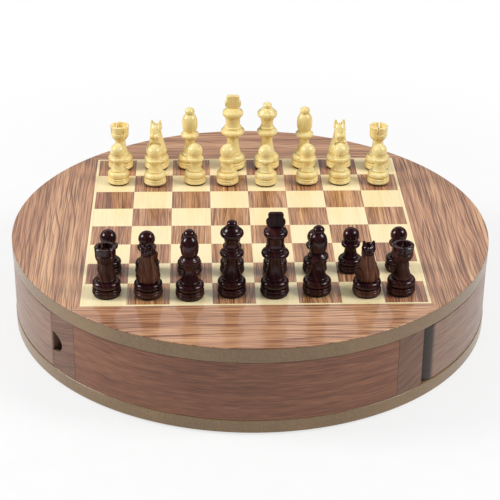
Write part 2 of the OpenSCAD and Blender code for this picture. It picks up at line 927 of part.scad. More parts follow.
// Right half of the king's cross, as shares of its half width and of its height. It starts a little
// inside the crown.
CROSS = [
  [0.58, -0.08], [0.62, 0.04], [0.86, 0.15], [0.98, 0.28], [1, 0.4], [0.93, 0.52], [0.78, 0.6],
  [0.71, 0.65], [0.77, 0.72], [0.8, 0.84], [0.72, 0.95], [0.54, 1]
];

module king_cross() {
  half_w = king_cross_w / 2;
  last = len(CROSS) - 1;
  rotate([90, 0, 0])
    linear_extrude(king_cross_t, center = true)
      polygon(concat(
        [for (p = CROSS) [p[0] * half_w, p[1] * king_cross_h]],
        [for (i = [last:-1:0]) [-CROSS[i][0] * half_w, CROSS[i][1] * king_cross_h]]
      ));
}

// From the middle of a king's crown up to the cross, the radius of the flat that carries the cross,
// and how far outside it the corner lies that the dome bends towards
KING_DOME_H = 3.4;
CROSS_SEAT_R = 3.6;
CROSS_SEAT_STEP = 1;

module king() {
  foot_r = foot_d / 2;
  stem_r = king_stem_d / 2;
  waist_r = king_waist_d / 2;
  crown_top = king_h - king_cross_h;
  crown_z = crown_top - KING_DOME_H;
  dome_start = [king_crown_d / 2 - CROWN_H * CROWN_ROUND, crown_z + CROWN_H / 2];
  turned(concat(
    foot(foot_r, 1),
    stem(foot_r, foot_top(1), stem_r, king_collar_z - COLLAR_H),
    collar(
      king_collar_d / 2, king_collar_z, COLLAR_H, stem_r,
      [waist_r + RING_BULGE, king_collar_z + RING_RISE - RING_H / 2]
    ),
    ring_and_crown(waist_r, king_collar_z, king_crown_d / 2, crown_z),
    curve(dome_start, [CROSS_SEAT_R + CROSS_SEAT_STEP, crown_top - OVER_DROP], [CROSS_SEAT_R, crown_top]),
    [[CROSS_SEAT_R, crown_top], [0, crown_top]]
  ));
  translate([0, 0, crown_top]) king_cross();
}

// The knight's body is turned like a bell, with a fine groove round the neck: shares of the way from
// the neck's radius out to the body's, and of the height from the foot up to the ears
KNIGHT_BELL = [
  [0.72, 0], [0.98, 0.06], [1, 0.12], [0.88, 0.24], [0.6, 0.38], [0.32, 0.52], [0.12, 0.64],
  [0.05, 0.7], [-0.07, 0.715], [0.05, 0.73], [0, 0.8], [0, 1]
];
// The chest is a second, smaller bell in front of it: shares of its own radius, and of the same height
KNIGHT_CHEST = [
  [0.8, 0], [0.95, 0.05], [1, 0.12], [0.96, 0.18], [0.82, 0.24], [0.56, 0.3], [0.3, 0.34], [0, 0.36]
];
CHEST_R = 5.4;
CHEST_FORWARD = 2.8;
// The side view, in millimetres forward and shares of that height: ears and neck down to the throat,
KNIGHT_NECK = [
  [-9, 0], [-9, 0.8], [-3.6, 0.86], [-2.4, 0.94], [-1, 1], [0, 1], [1.2, 0.95], [1.6, 0.86],
  [1.6, 0.5], [2.4, 0.4], [3.6, 0.33], [5.4, 0.27], [9, 0.2], [9, 0]
];
// and the head from the forehead over the nose to the jaw
KNIGHT_HEAD = [
  [0, 0.94], [1.4, 0.93], [3.2, 0.83], [5, 0.67], [6.6, 0.53], [7.4, 0.46], [7.5, 0.41], [6.9, 0.37],
  [5.8, 0.36], [4.6, 0.38], [3.4, 0.42], [2, 0.46], [0, 0.48]
];
// How far the head reaches from the man's axis
KNIGHT_REACH = 7.8;
// The mouth: its height as a share, its depth, its width and its slope
MOUTH_Z = 0.43;
MOUTH_DEPTH = 1.8;
MOUTH_W = 0.6;
MOUTH_SLOPE = -14;

// A side view of the knight that is w wide, from points in millimetres and shares of the height h
module knight_side(points, h, w) {
  rotate([90, 0, 90])
    linear_extrude(w, center = true)
      polygon([for (p = points) [p[0], p[1] * h]]);
}

module knight() {
  foot_r = foot_d / 2;
  body_z = foot_top(knight_foot_ratio);
  body_h = knight_h - body_z;
  neck_r = knight_neck_d / 2;
  flare = knight_body_d / 2 - neck_r;
  turned(concat(foot(foot_r, knight_foot_ratio), [[0, body_z]]));
  translate([0, 0, body_z])
    difference() {
      union() {
        intersection() {
          turned(concat(
            [[0, 0]],
            [for (p = KNIGHT_BELL) [neck_r + p[0] * flare, p[1] * body_h]],
            [[0, body_h]]
          ));
          knight_side(KNIGHT_NECK, body_h, foot_d);
        }
        translate([0, CHEST_FORWARD, 0])
          turned(concat([[0, 0]], [for (p = KNIGHT_CHEST) [p[0] * CHEST_R, p[1] * body_h]]));
        intersection() {
          knight_side(KNIGHT_HEAD, body_h, knight_face_w);
          cylinder(r = KNIGHT_REACH, h = body_h, $fn = MAN_FN);
        }
      }
      // The gap between the ears has a round bottom
      translate([0, 0, body_h - knight_ear_h + knight_ear_gap / 2])
        rotate([90, 0, 0])
          linear_extrude(foot_d, center = true) {
            circle(d = knight_ear_gap, $fn = MAN_FN / 2);
            translate([-knight_ear_gap / 2, 0]) square([knight_ear_gap, knight_ear_h]);
          }
      translate([-foot_r, KNIGHT_REACH - MOUTH_DEPTH, body_h * MOUTH_Z])
        rotate([MOUTH_SLOPE, 0, 0])
          cube([foot_d, foot_r, MOUTH_W]);
    }
}

module man_felt(r) {
  cylinder(r = r - felt_step, h = felt_t - glue_t, $fn = MAN_FN);
}

module man(kind) {
  man_felt(kind == "pawn" ? pawn_foot_d / 2 : foot_d / 2);
  if (kind == "pawn") pawn();
  if (kind == "rook") rook();
  if (kind == "knight") knight();
  if (kind == "bishop") bishop();
  if (kind == "queen") queen();
  if (kind == "king") king();
}

// Each side looks across the board at the other
module placed_man(entry) {
  dark = entry[1] == "dark";
  facing = entry[4] + (dark ? 0 : 180);
  color(dark ? "#2a1a18" : "#e6cc8a")
    translate([entry[3][0], entry[3][1], board_z])
      rotate([0, 0, facing])
        man(entry[2]);
}

top_panel();
bottom_panel();
base_pads();
light_squares();
dark_squares();
board_stringing();
board_surround();
front_wall();
back_wall();
centre_partition();
notch_pillar_front();
notch_pillar_back();
pivot_pillar_front();
pivot_pillar_back();
drawer_pins();
drawer_washers();
right_drawer_front();
right_drawer_inner_wall();
right_drawer_pivot_wall();
right_drawer_end_wall();
right_drawer_floor();
right_drawer_lining();
left_drawer_front();
left_drawer_inner_wall();
left_drawer_pivot_wall();
left_drawer_end_wall();
left_drawer_floor();
left_drawer_lining();
for (entry = MEN)
  placed_man(entry);
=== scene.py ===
# %% [markdown]
# # A round chess box with two swing-out drawers
# The object is a drum of wood. Its top is a veneered chess board with a full set of turned men,
# and its two sides are drawers that swing out on steel pins.
# The CAD model gives every size, so it is loaded first and nothing here changes its dimensions.
# What this lesson adds is what a CAD model lacks: rounded edges, smooth turned shapes, wood that has
# grain in the right direction, felt, lacquer and light.

# %% Load the frame
import math
import bmesh
import bpy
from mathutils import Matrix, Vector


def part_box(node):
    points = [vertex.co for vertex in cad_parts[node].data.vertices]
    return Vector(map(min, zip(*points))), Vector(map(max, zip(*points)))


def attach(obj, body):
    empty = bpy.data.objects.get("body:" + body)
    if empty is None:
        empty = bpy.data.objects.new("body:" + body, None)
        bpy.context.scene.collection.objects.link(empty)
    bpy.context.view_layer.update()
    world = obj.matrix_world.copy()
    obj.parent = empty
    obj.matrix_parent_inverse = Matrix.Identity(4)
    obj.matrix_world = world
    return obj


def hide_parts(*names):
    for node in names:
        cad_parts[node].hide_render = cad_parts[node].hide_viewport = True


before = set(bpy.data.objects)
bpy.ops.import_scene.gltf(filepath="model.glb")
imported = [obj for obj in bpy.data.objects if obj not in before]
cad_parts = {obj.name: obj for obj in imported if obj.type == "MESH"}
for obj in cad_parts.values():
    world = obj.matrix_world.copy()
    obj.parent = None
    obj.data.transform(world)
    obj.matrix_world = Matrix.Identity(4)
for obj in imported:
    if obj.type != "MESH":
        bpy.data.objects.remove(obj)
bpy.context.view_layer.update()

MM = 0.001

# %% [markdown]
# ## Camera
# A product picture of a board is taken from a little above with a long lens, so that far squares stay
# almost as large as near ones. The camera is turned round a point on the board: an angle to the side,
# an angle up, a distance and a small roll give its place and its three axes. The angles are radians.
# Building the matrix from those axes keeps the numbers readable.

# %% Place the camera
BOARD_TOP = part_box("light_squares")[1][2]
AIM = (-1.352 * MM, -33.654 * MM, BOARD_TOP)
DISTANCE = 962.593 * MM
SIDE_ANGLE = -0.037575
UP_ANGLE = 0.485384
ROLL_ANGLE = 0.009636
LENS_MM = 112.59
SENSOR_MM = 36


def camera_matrix(target, distance, side, up, roll):
    back = Vector((math.sin(side) * math.cos(up), -math.cos(side) * math.cos(up), math.sin(up)))
    right = Vector((0, 0, 1)).cross(back).normalized()
    above = back.cross(right)
    x = right * math.cos(roll) + above * math.sin(roll)
    y = above * math.cos(roll) - right * math.sin(roll)
    turn = Matrix((x, y, back)).transposed()
    return Matrix.Translation(Vector(target) + back * distance) @ turn.to_4x4()


camera = bpy.data.objects.new("camera", bpy.data.cameras.new("camera"))
camera.data.sensor_width = SENSOR_MM
camera.data.lens = LENS_MM
camera.matrix_world = camera_matrix(AIM, DISTANCE, SIDE_ANGLE, UP_ANGLE, ROLL_ANGLE)
bpy.context.collection.objects.link(camera)
bpy.context.scene.camera = camera
bpy.context.scene.view_settings.view_transform = "Standard"
print("camera at", [round(v, 3) for v in camera.matrix_world.translation])

# %% [markdown]
# ## Node expressions
# Wood is layers of simple patterns that are added, multiplied and compared. Wiring each Math node by
# hand hides that idea, so one small class wraps a socket and lets Python's own operators add the nodes.
# The other class holds a tree and has one method for every other kind of node: it takes the type, the
# settings and the values or wires of the inputs. Both serve shader trees and geometry trees alike.


# %% A socket that does arithmetic
class Wire:
    def __init__(self, nodes, socket):
        self.nodes = nodes
        self.socket = socket

    def math(self, operation, other=None, swapped=False):
        pair = (other, self) if swapped else (self, other)
        inputs = {i: value for i, value in enumerate(pair) if value is not None}
        return self.nodes.node("ShaderNodeMath", {"operation": operation}, inputs)

    def __add__(self, other):
        return self.math("ADD", other)

    def __sub__(self, other):
        return self.math("SUBTRACT", other)

    def __rsub__(self, other):
        return self.math("SUBTRACT", other, swapped=True)

    def __mul__(self, other):
        return self.math("MULTIPLY", other)

    def __truediv__(self, other):
        return self.math("DIVIDE", other)

    def __gt__(self, other):
        return self.math("GREATER_THAN", other)

    def __lt__(self, other):
        return self.math("LESS_THAN", other)

    __radd__ = __add__
    __rmul__ = __mul__


# %% A tree that takes any node
class Nodes:
    def __init__(self, tree):
        self.tree = tree

    def node(self, kind, settings=None, inputs=None, output=0):
        made = self.tree.nodes.new(kind)
        for name, value in (settings or {}).items():
            if name == "stops":
                self.set_stops(made.color_ramp, value)
            else:
                setattr(made, name, value)
        for name, value in (inputs or {}).items():
            if isinstance(value, Wire):
                self.tree.links.new(value.socket, made.inputs[name])
            else:
                made.inputs[name].default_value = value
        return Wire(self, made.outputs[output])

    @staticmethod
    def set_stops(ramp, stops):
        while len(ramp.elements) < len(stops):
            ramp.elements.new(0.5)
        for element, (place, colour) in zip(ramp.elements, stops):
            element.position = place
            element.color = colour

    def end(self, kind, wire):
        ending = self.tree.nodes.new(kind)
        self.tree.links.new(wire.socket, ending.inputs[0])
        return ending

    def xyz(self, vector):
        split = self.node("ShaderNodeSeparateXYZ", inputs={0: vector}).socket.node
        return [Wire(self, output) for output in split.outputs]

    def vector(self, x, y, z):
        return self.node("ShaderNodeCombineXYZ", inputs={0: x, 1: y, 2: z})

    def mask(self, value, low, high):
        return self.node("ShaderNodeMapRange", {"interpolation_type": "SMOOTHSTEP"}, {
            "Value": value, "From Min": low, "From Max": high})

    def is_ray(self, kind):
        return self.node("ShaderNodeLightPath", output="Is " + kind + " Ray")


# %% [markdown]
# ## What every finish shares
# Colours are noted as the usual 0 to 255 numbers and turned into linear light once, in Python.
# A finish starts as one principled shader whose even values are given by name. Noise, ramps and
# mixes then make the patterns, and `wear` plugs them in. Each helper is one layer, so that a finish
# is a short list of what its surface shows.


# %% Colour, mixing and noise helpers
def rgb(red, green, blue):
    def linear(value):
        value /= 255
        return value / 12.92 if value <= 0.04045 else ((value + 0.055) / 1.055) ** 2.4
    return (linear(red), linear(green), linear(blue), 1.0)


class Finish(Nodes):
    def __init__(self, name, **uniform):
        self.material = bpy.data.materials.new(name)
        self.material.use_nodes = True
        super().__init__(self.material.node_tree)
        self.tree.nodes.clear()
        self.surface = self.tree.nodes.new("ShaderNodeBsdfPrincipled")
        self.ending = self.end("ShaderNodeOutputMaterial", Wire(self, self.surface.outputs[0]))
        for socket, value in uniform.items():
            self.surface.inputs[socket.replace("_", " ")].default_value = value

    def place(self):
        return self.node("ShaderNodeTexCoord", output="Object")

    def noise(self, vector, detail=3.0, roughness=0.55, distortion=0.0, scale=1.0):
        return self.node("ShaderNodeTexNoise", inputs={
            "Vector": vector, "Scale": scale, "Detail": detail, "Roughness": roughness,
            "Distortion": distortion})

    def ramp(self, value, stops):
        return self.node("ShaderNodeValToRGB", {"stops": stops}, {0: value})

    def mix(self, factor, a, b, mode="MIX"):
        return self.node("ShaderNodeMix", {"data_type": "RGBA", "blend_type": mode}, {
            0: factor, 6: a, 7: b}, output=2)

    def bump(self, height, distance):
        return self.node("ShaderNodeBump", inputs={"Height": height, "Distance": distance, "Strength": 1.0})

    def feed(self, socket, wire):
        self.tree.links.new(wire.socket, self.surface.inputs[socket])

    def wear(self, colour, roughness=None, normal=None):
        for socket, wire in (("Base Color", colour), ("Roughness", roughness), ("Normal", normal)):
            if wire is not None:
                self.feed(socket, wire)
        return self.material

    # Paints shade: mixes a dark colour over the colour so far, where a mask says.
    def paint_shade(self, where, colour):
        so_far = Wire(self, self.surface.inputs["Base Color"].links[0].from_socket)
        return self.wear(self.mix(where, so_far, colour))


# %% [markdown]
# ## Wood grain as one recipe
# Cut wood shows bands a few millimetres wide, where slow and fast growth meet, fibres inside them, and
# short dark pores. A noise texture whose coordinates are squeezed along the grain gives streaks, and
# the same noise at three sizes gives all three. The recipe takes a coordinate across the grain, one
# along it and a third that only changes the sample, so the same code serves flat veneer, curved
# walls and turned men: only the coordinates differ.
# Veneer shows its year rings as well. A ring is a saw wave across the grain that wanders with a slow
# noise, and a second noise lets single rings come and go.


# %% Grain recipe
def grain(finish, across, along, sample, band_mm, fibre_mm, pore_mm, stretch):
    def streaks(width_mm, detail, distortion, longer=1.0):
        per_metre = 1 / (width_mm * MM)
        where = finish.vector(across * per_metre, along * (per_metre / (stretch * longer)), sample)
        return finish.noise(where, detail=detail, distortion=distortion)
    bands = streaks(band_mm, detail=2.0, distortion=0.6)
    fibres = streaks(fibre_mm, detail=4.0, distortion=0.1)
    pores = finish.mask(streaks(pore_mm, detail=1.0, distortion=0.0, longer=2.2), 0.57, 0.63)
    return bands, fibres, pores


def year_rings(finish, across, along, sample, spacing_mm, wander_mm=30):
    wander = finish.noise(finish.vector(across * 25, along * 6, sample), detail=2.0)
    phase = (across + wander * (wander_mm * MM)) / (spacing_mm * MM)
    late_wood = finish.mask(phase.math("FRACT"), 0.58, 0.98)
    strength = finish.noise(finish.vector(phase.math("FLOOR") * 1.7, along * 14, sample), detail=2.0)
    return late_wood * finish.mask(strength, 0.36, 0.62)


def wood(finish, layers, dark, middle, light, pore_colour, pore_share, gloss, depth):
    bands, fibres, pores = layers
    tone = bands * 0.4 + fibres * 0.6
    colour = finish.ramp(tone, [(0.36, dark), (0.5, middle), (0.64, light)])
    colour = finish.mix(pores * pore_share, colour, pore_colour)
    roughness = fibres * 0.16 + pores * 0.12 + gloss
    height = fibres * 0.5 - pores * 0.6
    return finish.wear(colour, roughness, finish.bump(height, depth))


# %% [markdown]
# ## Board veneers
# The dark squares are walnut, each cut from another place in the sheet, so neighbours differ in tone.
# The square under a point is found by rounding its coordinates down, and a white noise on those whole
# numbers shifts the grain and the tone. The light squares and the thin strip round them are
# pale maple, and the surround is four mitred boards whose grain follows their length. The factors that
# shift a sample are free: they only have to reach another part of the noise.

# %% Walnut veneer
LACQUER = {"Coat_Weight": 0.6, "Coat_Roughness": 0.13, "IOR": 1.3}
WALNUT_TONES = [(0.37, rgb(140, 90, 64)), (0.46, rgb(178, 128, 95)), (0.54, rgb(197, 146, 109)),
                (0.63, rgb(224, 176, 134))]
WALNUT_RING = rgb(104, 60, 42)
WALNUT_PORE = rgb(84, 46, 34)


def veneer(finish, layers, ring, shift=0.0):
    bands, fibres, pores = layers
    tone = bands * 0.5 + fibres * 0.5 + shift
    colour = finish.mix(ring * 0.85, finish.ramp(tone, WALNUT_TONES), WALNUT_RING)
    return finish.mix(pores * 0.7, colour, WALNUT_PORE)


# %% Dark squares
SQUARE = 25 * MM
HALF_BOARD_SQUARES = 4


def square_of(finish):
    x, y, z = finish.xyz(finish.place())
    file = (x / SQUARE + HALF_BOARD_SQUARES).math("FLOOR")
    rank = (y / SQUARE + HALF_BOARD_SQUARES).math("FLOOR")
    chance = finish.node("ShaderNodeTexWhiteNoise", {"noise_dimensions": "2D"},
                         {"Vector": finish.vector(file, rank, 0.0)})
    return x, y, chance


walnut = Finish("walnut_squares", **LACQUER)
x, y, chance = square_of(walnut)
place = (x + chance * 0.31, y + chance * 1.7, chance * 9)
layers = grain(walnut, *place, band_mm=4.5, fibre_mm=0.7, pore_mm=0.6, stretch=30)
bands, fibres, pores = layers
ring = year_rings(walnut, *place, spacing_mm=2.5)
colour = veneer(walnut, layers, ring, shift=(chance - 0.5) * 0.05 - 0.005)
tint = walnut.ramp(chance, [(0.0, rgb(244, 234, 236)), (0.5, rgb(252, 250, 248)), (1.0, rgb(255, 250, 228))])
colour = walnut.mix(1.0, colour, tint, "MULTIPLY")
WALNUT = walnut.wear(colour, fibres * 0.14 + 0.3, walnut.bump(fibres * 0.5 - pores * 0.5, 0.05 * MM))
print("walnut squares:", len(WALNUT.node_tree.nodes), "nodes")

# %% Light squares and strip
maple = Finish("maple_squares", **LACQUER)
x, y, chance = square_of(maple)
bands, fibres, pores = grain(maple, x + chance * 0.21, y + chance * 1.3, chance * 5,
                             band_mm=6.0, fibre_mm=1.4, pore_mm=0.9, stretch=14)
tone = bands * 0.6 + fibres * 0.4 + (chance - 0.5) * 0.12
colour = maple.ramp(tone, [
    (0.3, rgb(246, 223, 169)), (0.5, rgb(251, 232, 183)), (0.7, rgb(254, 239, 194))])
colour = maple.mix(pores * 0.12, colour, rgb(222, 196, 140))
MAPLE = maple.wear(colour, fibres * 0.12 + 0.3, maple.bump(fibres, 0.02 * MM))
print("maple:", len(MAPLE.node_tree.nodes), "nodes")

# %% Surround
surround = Finish("walnut_surround", Coat_Weight=0.7, Coat_Roughness=0.12, IOR=1.3)
x, y, z = surround.xyz(surround.place())
beside = x.math("ABSOLUTE") > y.math("ABSOLUTE")
across = y + (x - y) * beside
along = x + (y - x) * beside
board = beside + (across > 0.0) * 2
place = (across + board * 0.137, along + board * 0.71, board * 3.1)
layers = grain(surround, *place, band_mm=8.0, fibre_mm=0.9, pore_mm=0.7, stretch=34)
bands, fibres, pores = layers
ring = year_rings(surround, *place, spacing_mm=3.3)
SURROUND = surround.wear(veneer(surround, layers, ring), fibres * 0.14 + 0.28,
                         surround.bump(fibres * 0.5 - pores * 0.6, 0.05 * MM))
print("surround:", len(SURROUND.node_tree.nodes), "nodes")

# %% [markdown]
# ## Case and drawers
# The walls and the drawer fronts are bent boards with their grain round the drum, so their grain is
# drawn on the angle round the axis, measured along the arc, and on the height. The nose of a drawer
# front is painted dark, as a painted shadow of the gap between it and the post beside it. The posts
# beside the drawers are short blocks with slanting grain, and what shows of them below their outer
# face, as inside a finger notch, is painted dark as shade too. The edges of the two panels are
# fibreboard, which has a fine speckle and no grain at all.

# %% Curved woods
DRUM_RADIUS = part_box("top_panel")[1][0]
# Where the painted shadow on a drawer's nose begins along the arc, and how far it fades in.
NOSE_SHADE_ARC = 119.2 * MM
NOSE_SHADE_FADE = 4 * MM


def curved_wood(name, sideways, colours, pore_colour, gloss, coat):
    finish = Finish(name, Coat_Weight=coat, Coat_Roughness=0.26, IOR=1.42)
    x, y, z = finish.xyz(finish.place())
    arc = (y / x if sideways else x / y).math("ARCTANGENT") * DRUM_RADIUS
    other_side = (x if sideways else y) > 0.0
    layers = grain(finish, z, arc, other_side * 7.1, band_mm=3.0, fibre_mm=0.6, pore_mm=0.6, stretch=20)
    made = wood(finish, layers, *colours, pore_colour, 0.4, gloss, 0.05 * MM)
    if sideways:
        # Painted shadow: the nose of the drawer front, by its post, is painted almost black as the shade of
        # the gap there.
        nose_shade = finish.mask(0.0 - arc, NOSE_SHADE_ARC, NOSE_SHADE_ARC + NOSE_SHADE_FADE)
        finish.paint_shade(nose_shade * 0.92, rgb(38, 25, 21))
    return made


WALL = curved_wood("wall_sapele", False, (
    rgb(110, 66, 46), rgb(133, 84, 59), rgb(156, 103, 74)), rgb(80, 48, 37), gloss=0.4, coat=0.35)
DRAWER = curved_wood("drawer_sapele", True, (
    rgb(126, 92, 75), rgb(144, 109, 89), rgb(158, 123, 102)), rgb(104, 73, 60), gloss=0.42, coat=0.55)

# %% Posts
# Post faces deeper than this under the drum's outer face are painted dark as shade, fading in over the next
# span.
NOTCH_SHADE_DEPTH = 0.8 * MM
NOTCH_SHADE_FADE = 3 * MM
posts = Finish("post_walnut", Coat_Weight=0.1, Coat_Roughness=0.3, IOR=1.42)
x, y, z = posts.xyz(posts.place())
layers = grain(posts, z * 0.9 - x * 0.45, x * 0.9 + z * 0.45, y * 2.0,
               band_mm=3.6, fibre_mm=0.7, pore_mm=0.5, stretch=22)
POST = wood(posts, layers, rgb(112, 81, 67), rgb(128, 95, 79), rgb(143, 110, 92), rgb(88, 62, 53),
            pore_share=0.4, gloss=0.45, depth=0.05 * MM)
radius = (x * x + y * y).math("SQRT")
# Painted shade: what shows of a post below its outer face, as inside a finger notch, is darkened.
notch_shade = posts.mask(DRUM_RADIUS - radius, NOTCH_SHADE_DEPTH, NOTCH_SHADE_DEPTH + NOTCH_SHADE_FADE)
posts.paint_shade(notch_shade * 0.9, rgb(30, 20, 18))
print("curved wood:", len(WALL.node_tree.nodes), "nodes; posts:", len(POST.node_tree.nodes))

# %% Panel edges
edge = Finish("panel_fibreboard", Coat_Weight=0.85, Coat_Roughness=0.25, IOR=1.45)
speckle = edge.noise(edge.place(), detail=4.0, scale=900.0)
cloud = edge.noise(edge.place(), detail=2.0, scale=30.0)
colour = edge.ramp(speckle * 0.6 + cloud * 0.4, [
    (0.3, rgb(113, 87, 54)), (0.5, rgb(133, 104, 66)), (0.7, rgb(149, 120, 77))])
PANEL = edge.wear(colour, cloud * 0.1 + 0.44, edge.bump(speckle, 0.03 * MM))
print("panel edge:", len(PANEL.node_tree.nodes), "nodes")

# %% [markdown]
# ## Inside the drawers
# The trays are birch plywood, pale and matt, lined with green felt. Felt has no grain: it is a mat of
# short hairs, so a fine noise drives a small bump, and sheen on the shader's own socket gives the soft
# light at its edges.

# %% Plywood and felts
ply = Finish("birch_ply", IOR=1.42)
x, y, z = ply.xyz(ply.place())
layers = grain(ply, y * 0.9 + z, x, 0.0, band_mm=6.0, fibre_mm=1.0, pore_mm=0.7, stretch=20)
PLY = wood(ply, layers, rgb(196, 166, 120), rgb(212, 184, 138), rgb(224, 198, 154), rgb(168, 132, 90),
           pore_share=0.3, gloss=0.5, depth=0.04 * MM)


def felt(name, low, high):
    finish = Finish(name, Roughness=0.95, Sheen_Weight=0.5, Sheen_Roughness=0.5, IOR=1.3)
    hairs = finish.noise(finish.place(), detail=4.0, scale=2600.0, roughness=0.7)
    lumps = finish.noise(finish.place(), detail=2.0, scale=240.0)
    nap = hairs * 0.7 + lumps * 0.3
    return finish.wear(finish.ramp(nap, [(0.35, low), (0.65, high)]), None, finish.bump(nap, 0.12 * MM))


DRAWER_FELT = felt("drawer_felt_green", rgb(30, 56, 40), rgb(52, 84, 62))
PAD_FELT = felt("pad_felt_grey", rgb(46, 44, 42), rgb(74, 71, 66))
MAN_FELT = felt("man_felt_black", rgb(12, 12, 12), rgb(30, 29, 28))
print("felts made")

# %% Steel pin and fibre washer
steel = Finish("pin_steel_ground", Metallic=1.0, IOR=2.5)
marks = steel.noise(steel.place(), detail=2.0, scale=1800.0)
STEEL = steel.wear(steel.ramp(marks, [(0.3, rgb(172, 172, 174)), (0.7, rgb(196, 196, 198))]),
                   marks * 0.15 + 0.22, steel.bump(marks, 0.01 * MM))
fibre = Finish("washer_fibre_pressed", IOR=1.45)
spots = fibre.noise(fibre.place(), detail=3.0, scale=1500.0)
FIBRE = fibre.wear(fibre.ramp(spots, [(0.3, rgb(196, 188, 170)), (0.7, rgb(222, 215, 200))]),
                   spots * 0.1 + 0.6, fibre.bump(spots, 0.02 * MM))
print("steel and fibre made")

# %% [markdown]
# ## Finish of the men
# Both sides are turned from the same pale wood with upright grain. One side is left its own colour
# under lacquer, the other is stained almost black and polished to a gloss. A clear coat over a rougher
# base gives both: the coat makes the sharp highlights, and the base below it still shows the wood.
# The coat is thinner and duller on the foot, on the bodies of rooks and knights and on the king's cross.
# These zones are heights above the board, in millimetres: the coat fades there and the stain is painted
# browner, partly for the duller finish and partly as a painted sheen for the board and room reflected there.

# %% Light men
MAN_BANDS_MM = 3.0
boxwood = Finish("men_boxwood", Coat_Weight=0.75, Coat_Roughness=0.17, IOR=1.4)
x, y, z = boxwood.xyz(boxwood.place())
bands, fibres, pores = grain(boxwood, x * 0.9 + y * 0.5, z, y * 3.0,
                             band_mm=MAN_BANDS_MM, fibre_mm=0.7, pore_mm=0.5, stretch=14)
colour = boxwood.ramp(bands * 0.55 + fibres * 0.45, [
    (0.32, rgb(249, 214, 138)), (0.5, rgb(255, 234, 162)), (0.68, rgb(255, 243, 184))])
colour = boxwood.mix(pores * 0.2, colour, rgb(214, 170, 98))
BOXWOOD = boxwood.wear(colour, fibres * 0.12 + 0.34, boxwood.bump(fibres, 0.02 * MM))

# %% Dark men
# Heights in millimetres where the foot's thinner coat and browner painted sheen end, and how much of them
# the foot gets.
FOOT_SATIN_SHEEN_END = (4.4, 5.2)
FOOT_SATIN_SHEEN = 0.6
COAT_ON_GLOSS = 0.62
COAT_LOST_ON_SATIN = 0.45
GLOSS_TONES = ((25, 9, 13), (46, 18, 22), (78, 37, 35))
SATIN_SHEEN_TONES = ((42, 23, 20), (68, 43, 37), (96, 66, 55))


def stain(finish, tone, tones):
    return finish.ramp(tone, [(place, rgb(*shade)) for place, shade in zip((0.34, 0.5, 0.66), tones)])


def stained(name, satin_sheen_zone=None, satin_sheen_tones=SATIN_SHEEN_TONES):
    finish = Finish(name, Coat_Roughness=0.19, Coat_IOR=1.6, Specular_IOR_Level=0.0)
    x, y, z = finish.xyz(finish.place())
    bands, fibres, pores = grain(finish, x * 0.9 + y * 0.5, z, y * 3.0,
                                 band_mm=MAN_BANDS_MM, fibre_mm=0.6, pore_mm=0.5, stretch=14)
    height = (z - BOARD_TOP) / MM
    # Towards the foot the coat thins and the stain is painted browner: a duller finish, and a painted sheen
    # for the board reflected there.
    satin_and_sheen = (1 - finish.mask(height, *FOOT_SATIN_SHEEN_END)) * FOOT_SATIN_SHEEN
    if satin_sheen_zone:
        low, high = satin_sheen_zone
        satin_and_sheen = satin_and_sheen + finish.mask(height, low, low + 1.5) * (1 - finish.mask(height, high - 1, high))
    tone = bands * 0.5 + fibres * 0.5
    colour = finish.mix(satin_and_sheen, stain(finish, tone, GLOSS_TONES), stain(finish, tone, satin_sheen_tones))
    colour = finish.mix(pores * 0.6, colour, rgb(14, 5, 7))
    finish.feed("Coat Weight", COAT_ON_GLOSS - satin_and_sheen * COAT_LOST_ON_SATIN)
    return finish.wear(colour, fibres * 0.14 + 0.3, finish.bump(fibres - pores * 0.5, 0.02 * MM))


STAINED = stained("men_stained_gloss")
# Rooks, knights and the king's cross get a zone where the coat thins and the stain is painted browner,
# partly as painted sheen.
STAINED_SATIN_SHEEN = {
    "rook": stained("rook_stained_satin", (10, 28.5)),
    "knight": stained("knight_stained_satin", (9.5, 27), ((64, 37, 28), (102, 66, 52), (132, 93, 73))),
    "king": stained("king_stained_cross", (43, 60), ((34, 16, 21), (52, 28, 31), (68, 42, 42)))}
print("men:", len(BOXWOOD.node_tree.nodes), "and", len(STAINED.node_tree.nodes), "nodes")

# %% [markdown]
# ## Turning on a lathe with Geometry Nodes
# The panels, the surround and most of the men are turned: one outline, swept round an upright axis.
# That is a rule, so a node tree does it for every outline. A grid has one column for each step round
# the axis and one row for each point of the outline; each grid point looks up its radius and height by
# its row and its angle by its column. Merging the doubles closes the seam and both poles.
# The felt under a man is part of the same outline, and gets its own material below a given height.

# %% Lathe tree
DOUBLES = 2e-6
ROUNDING = 0.0001


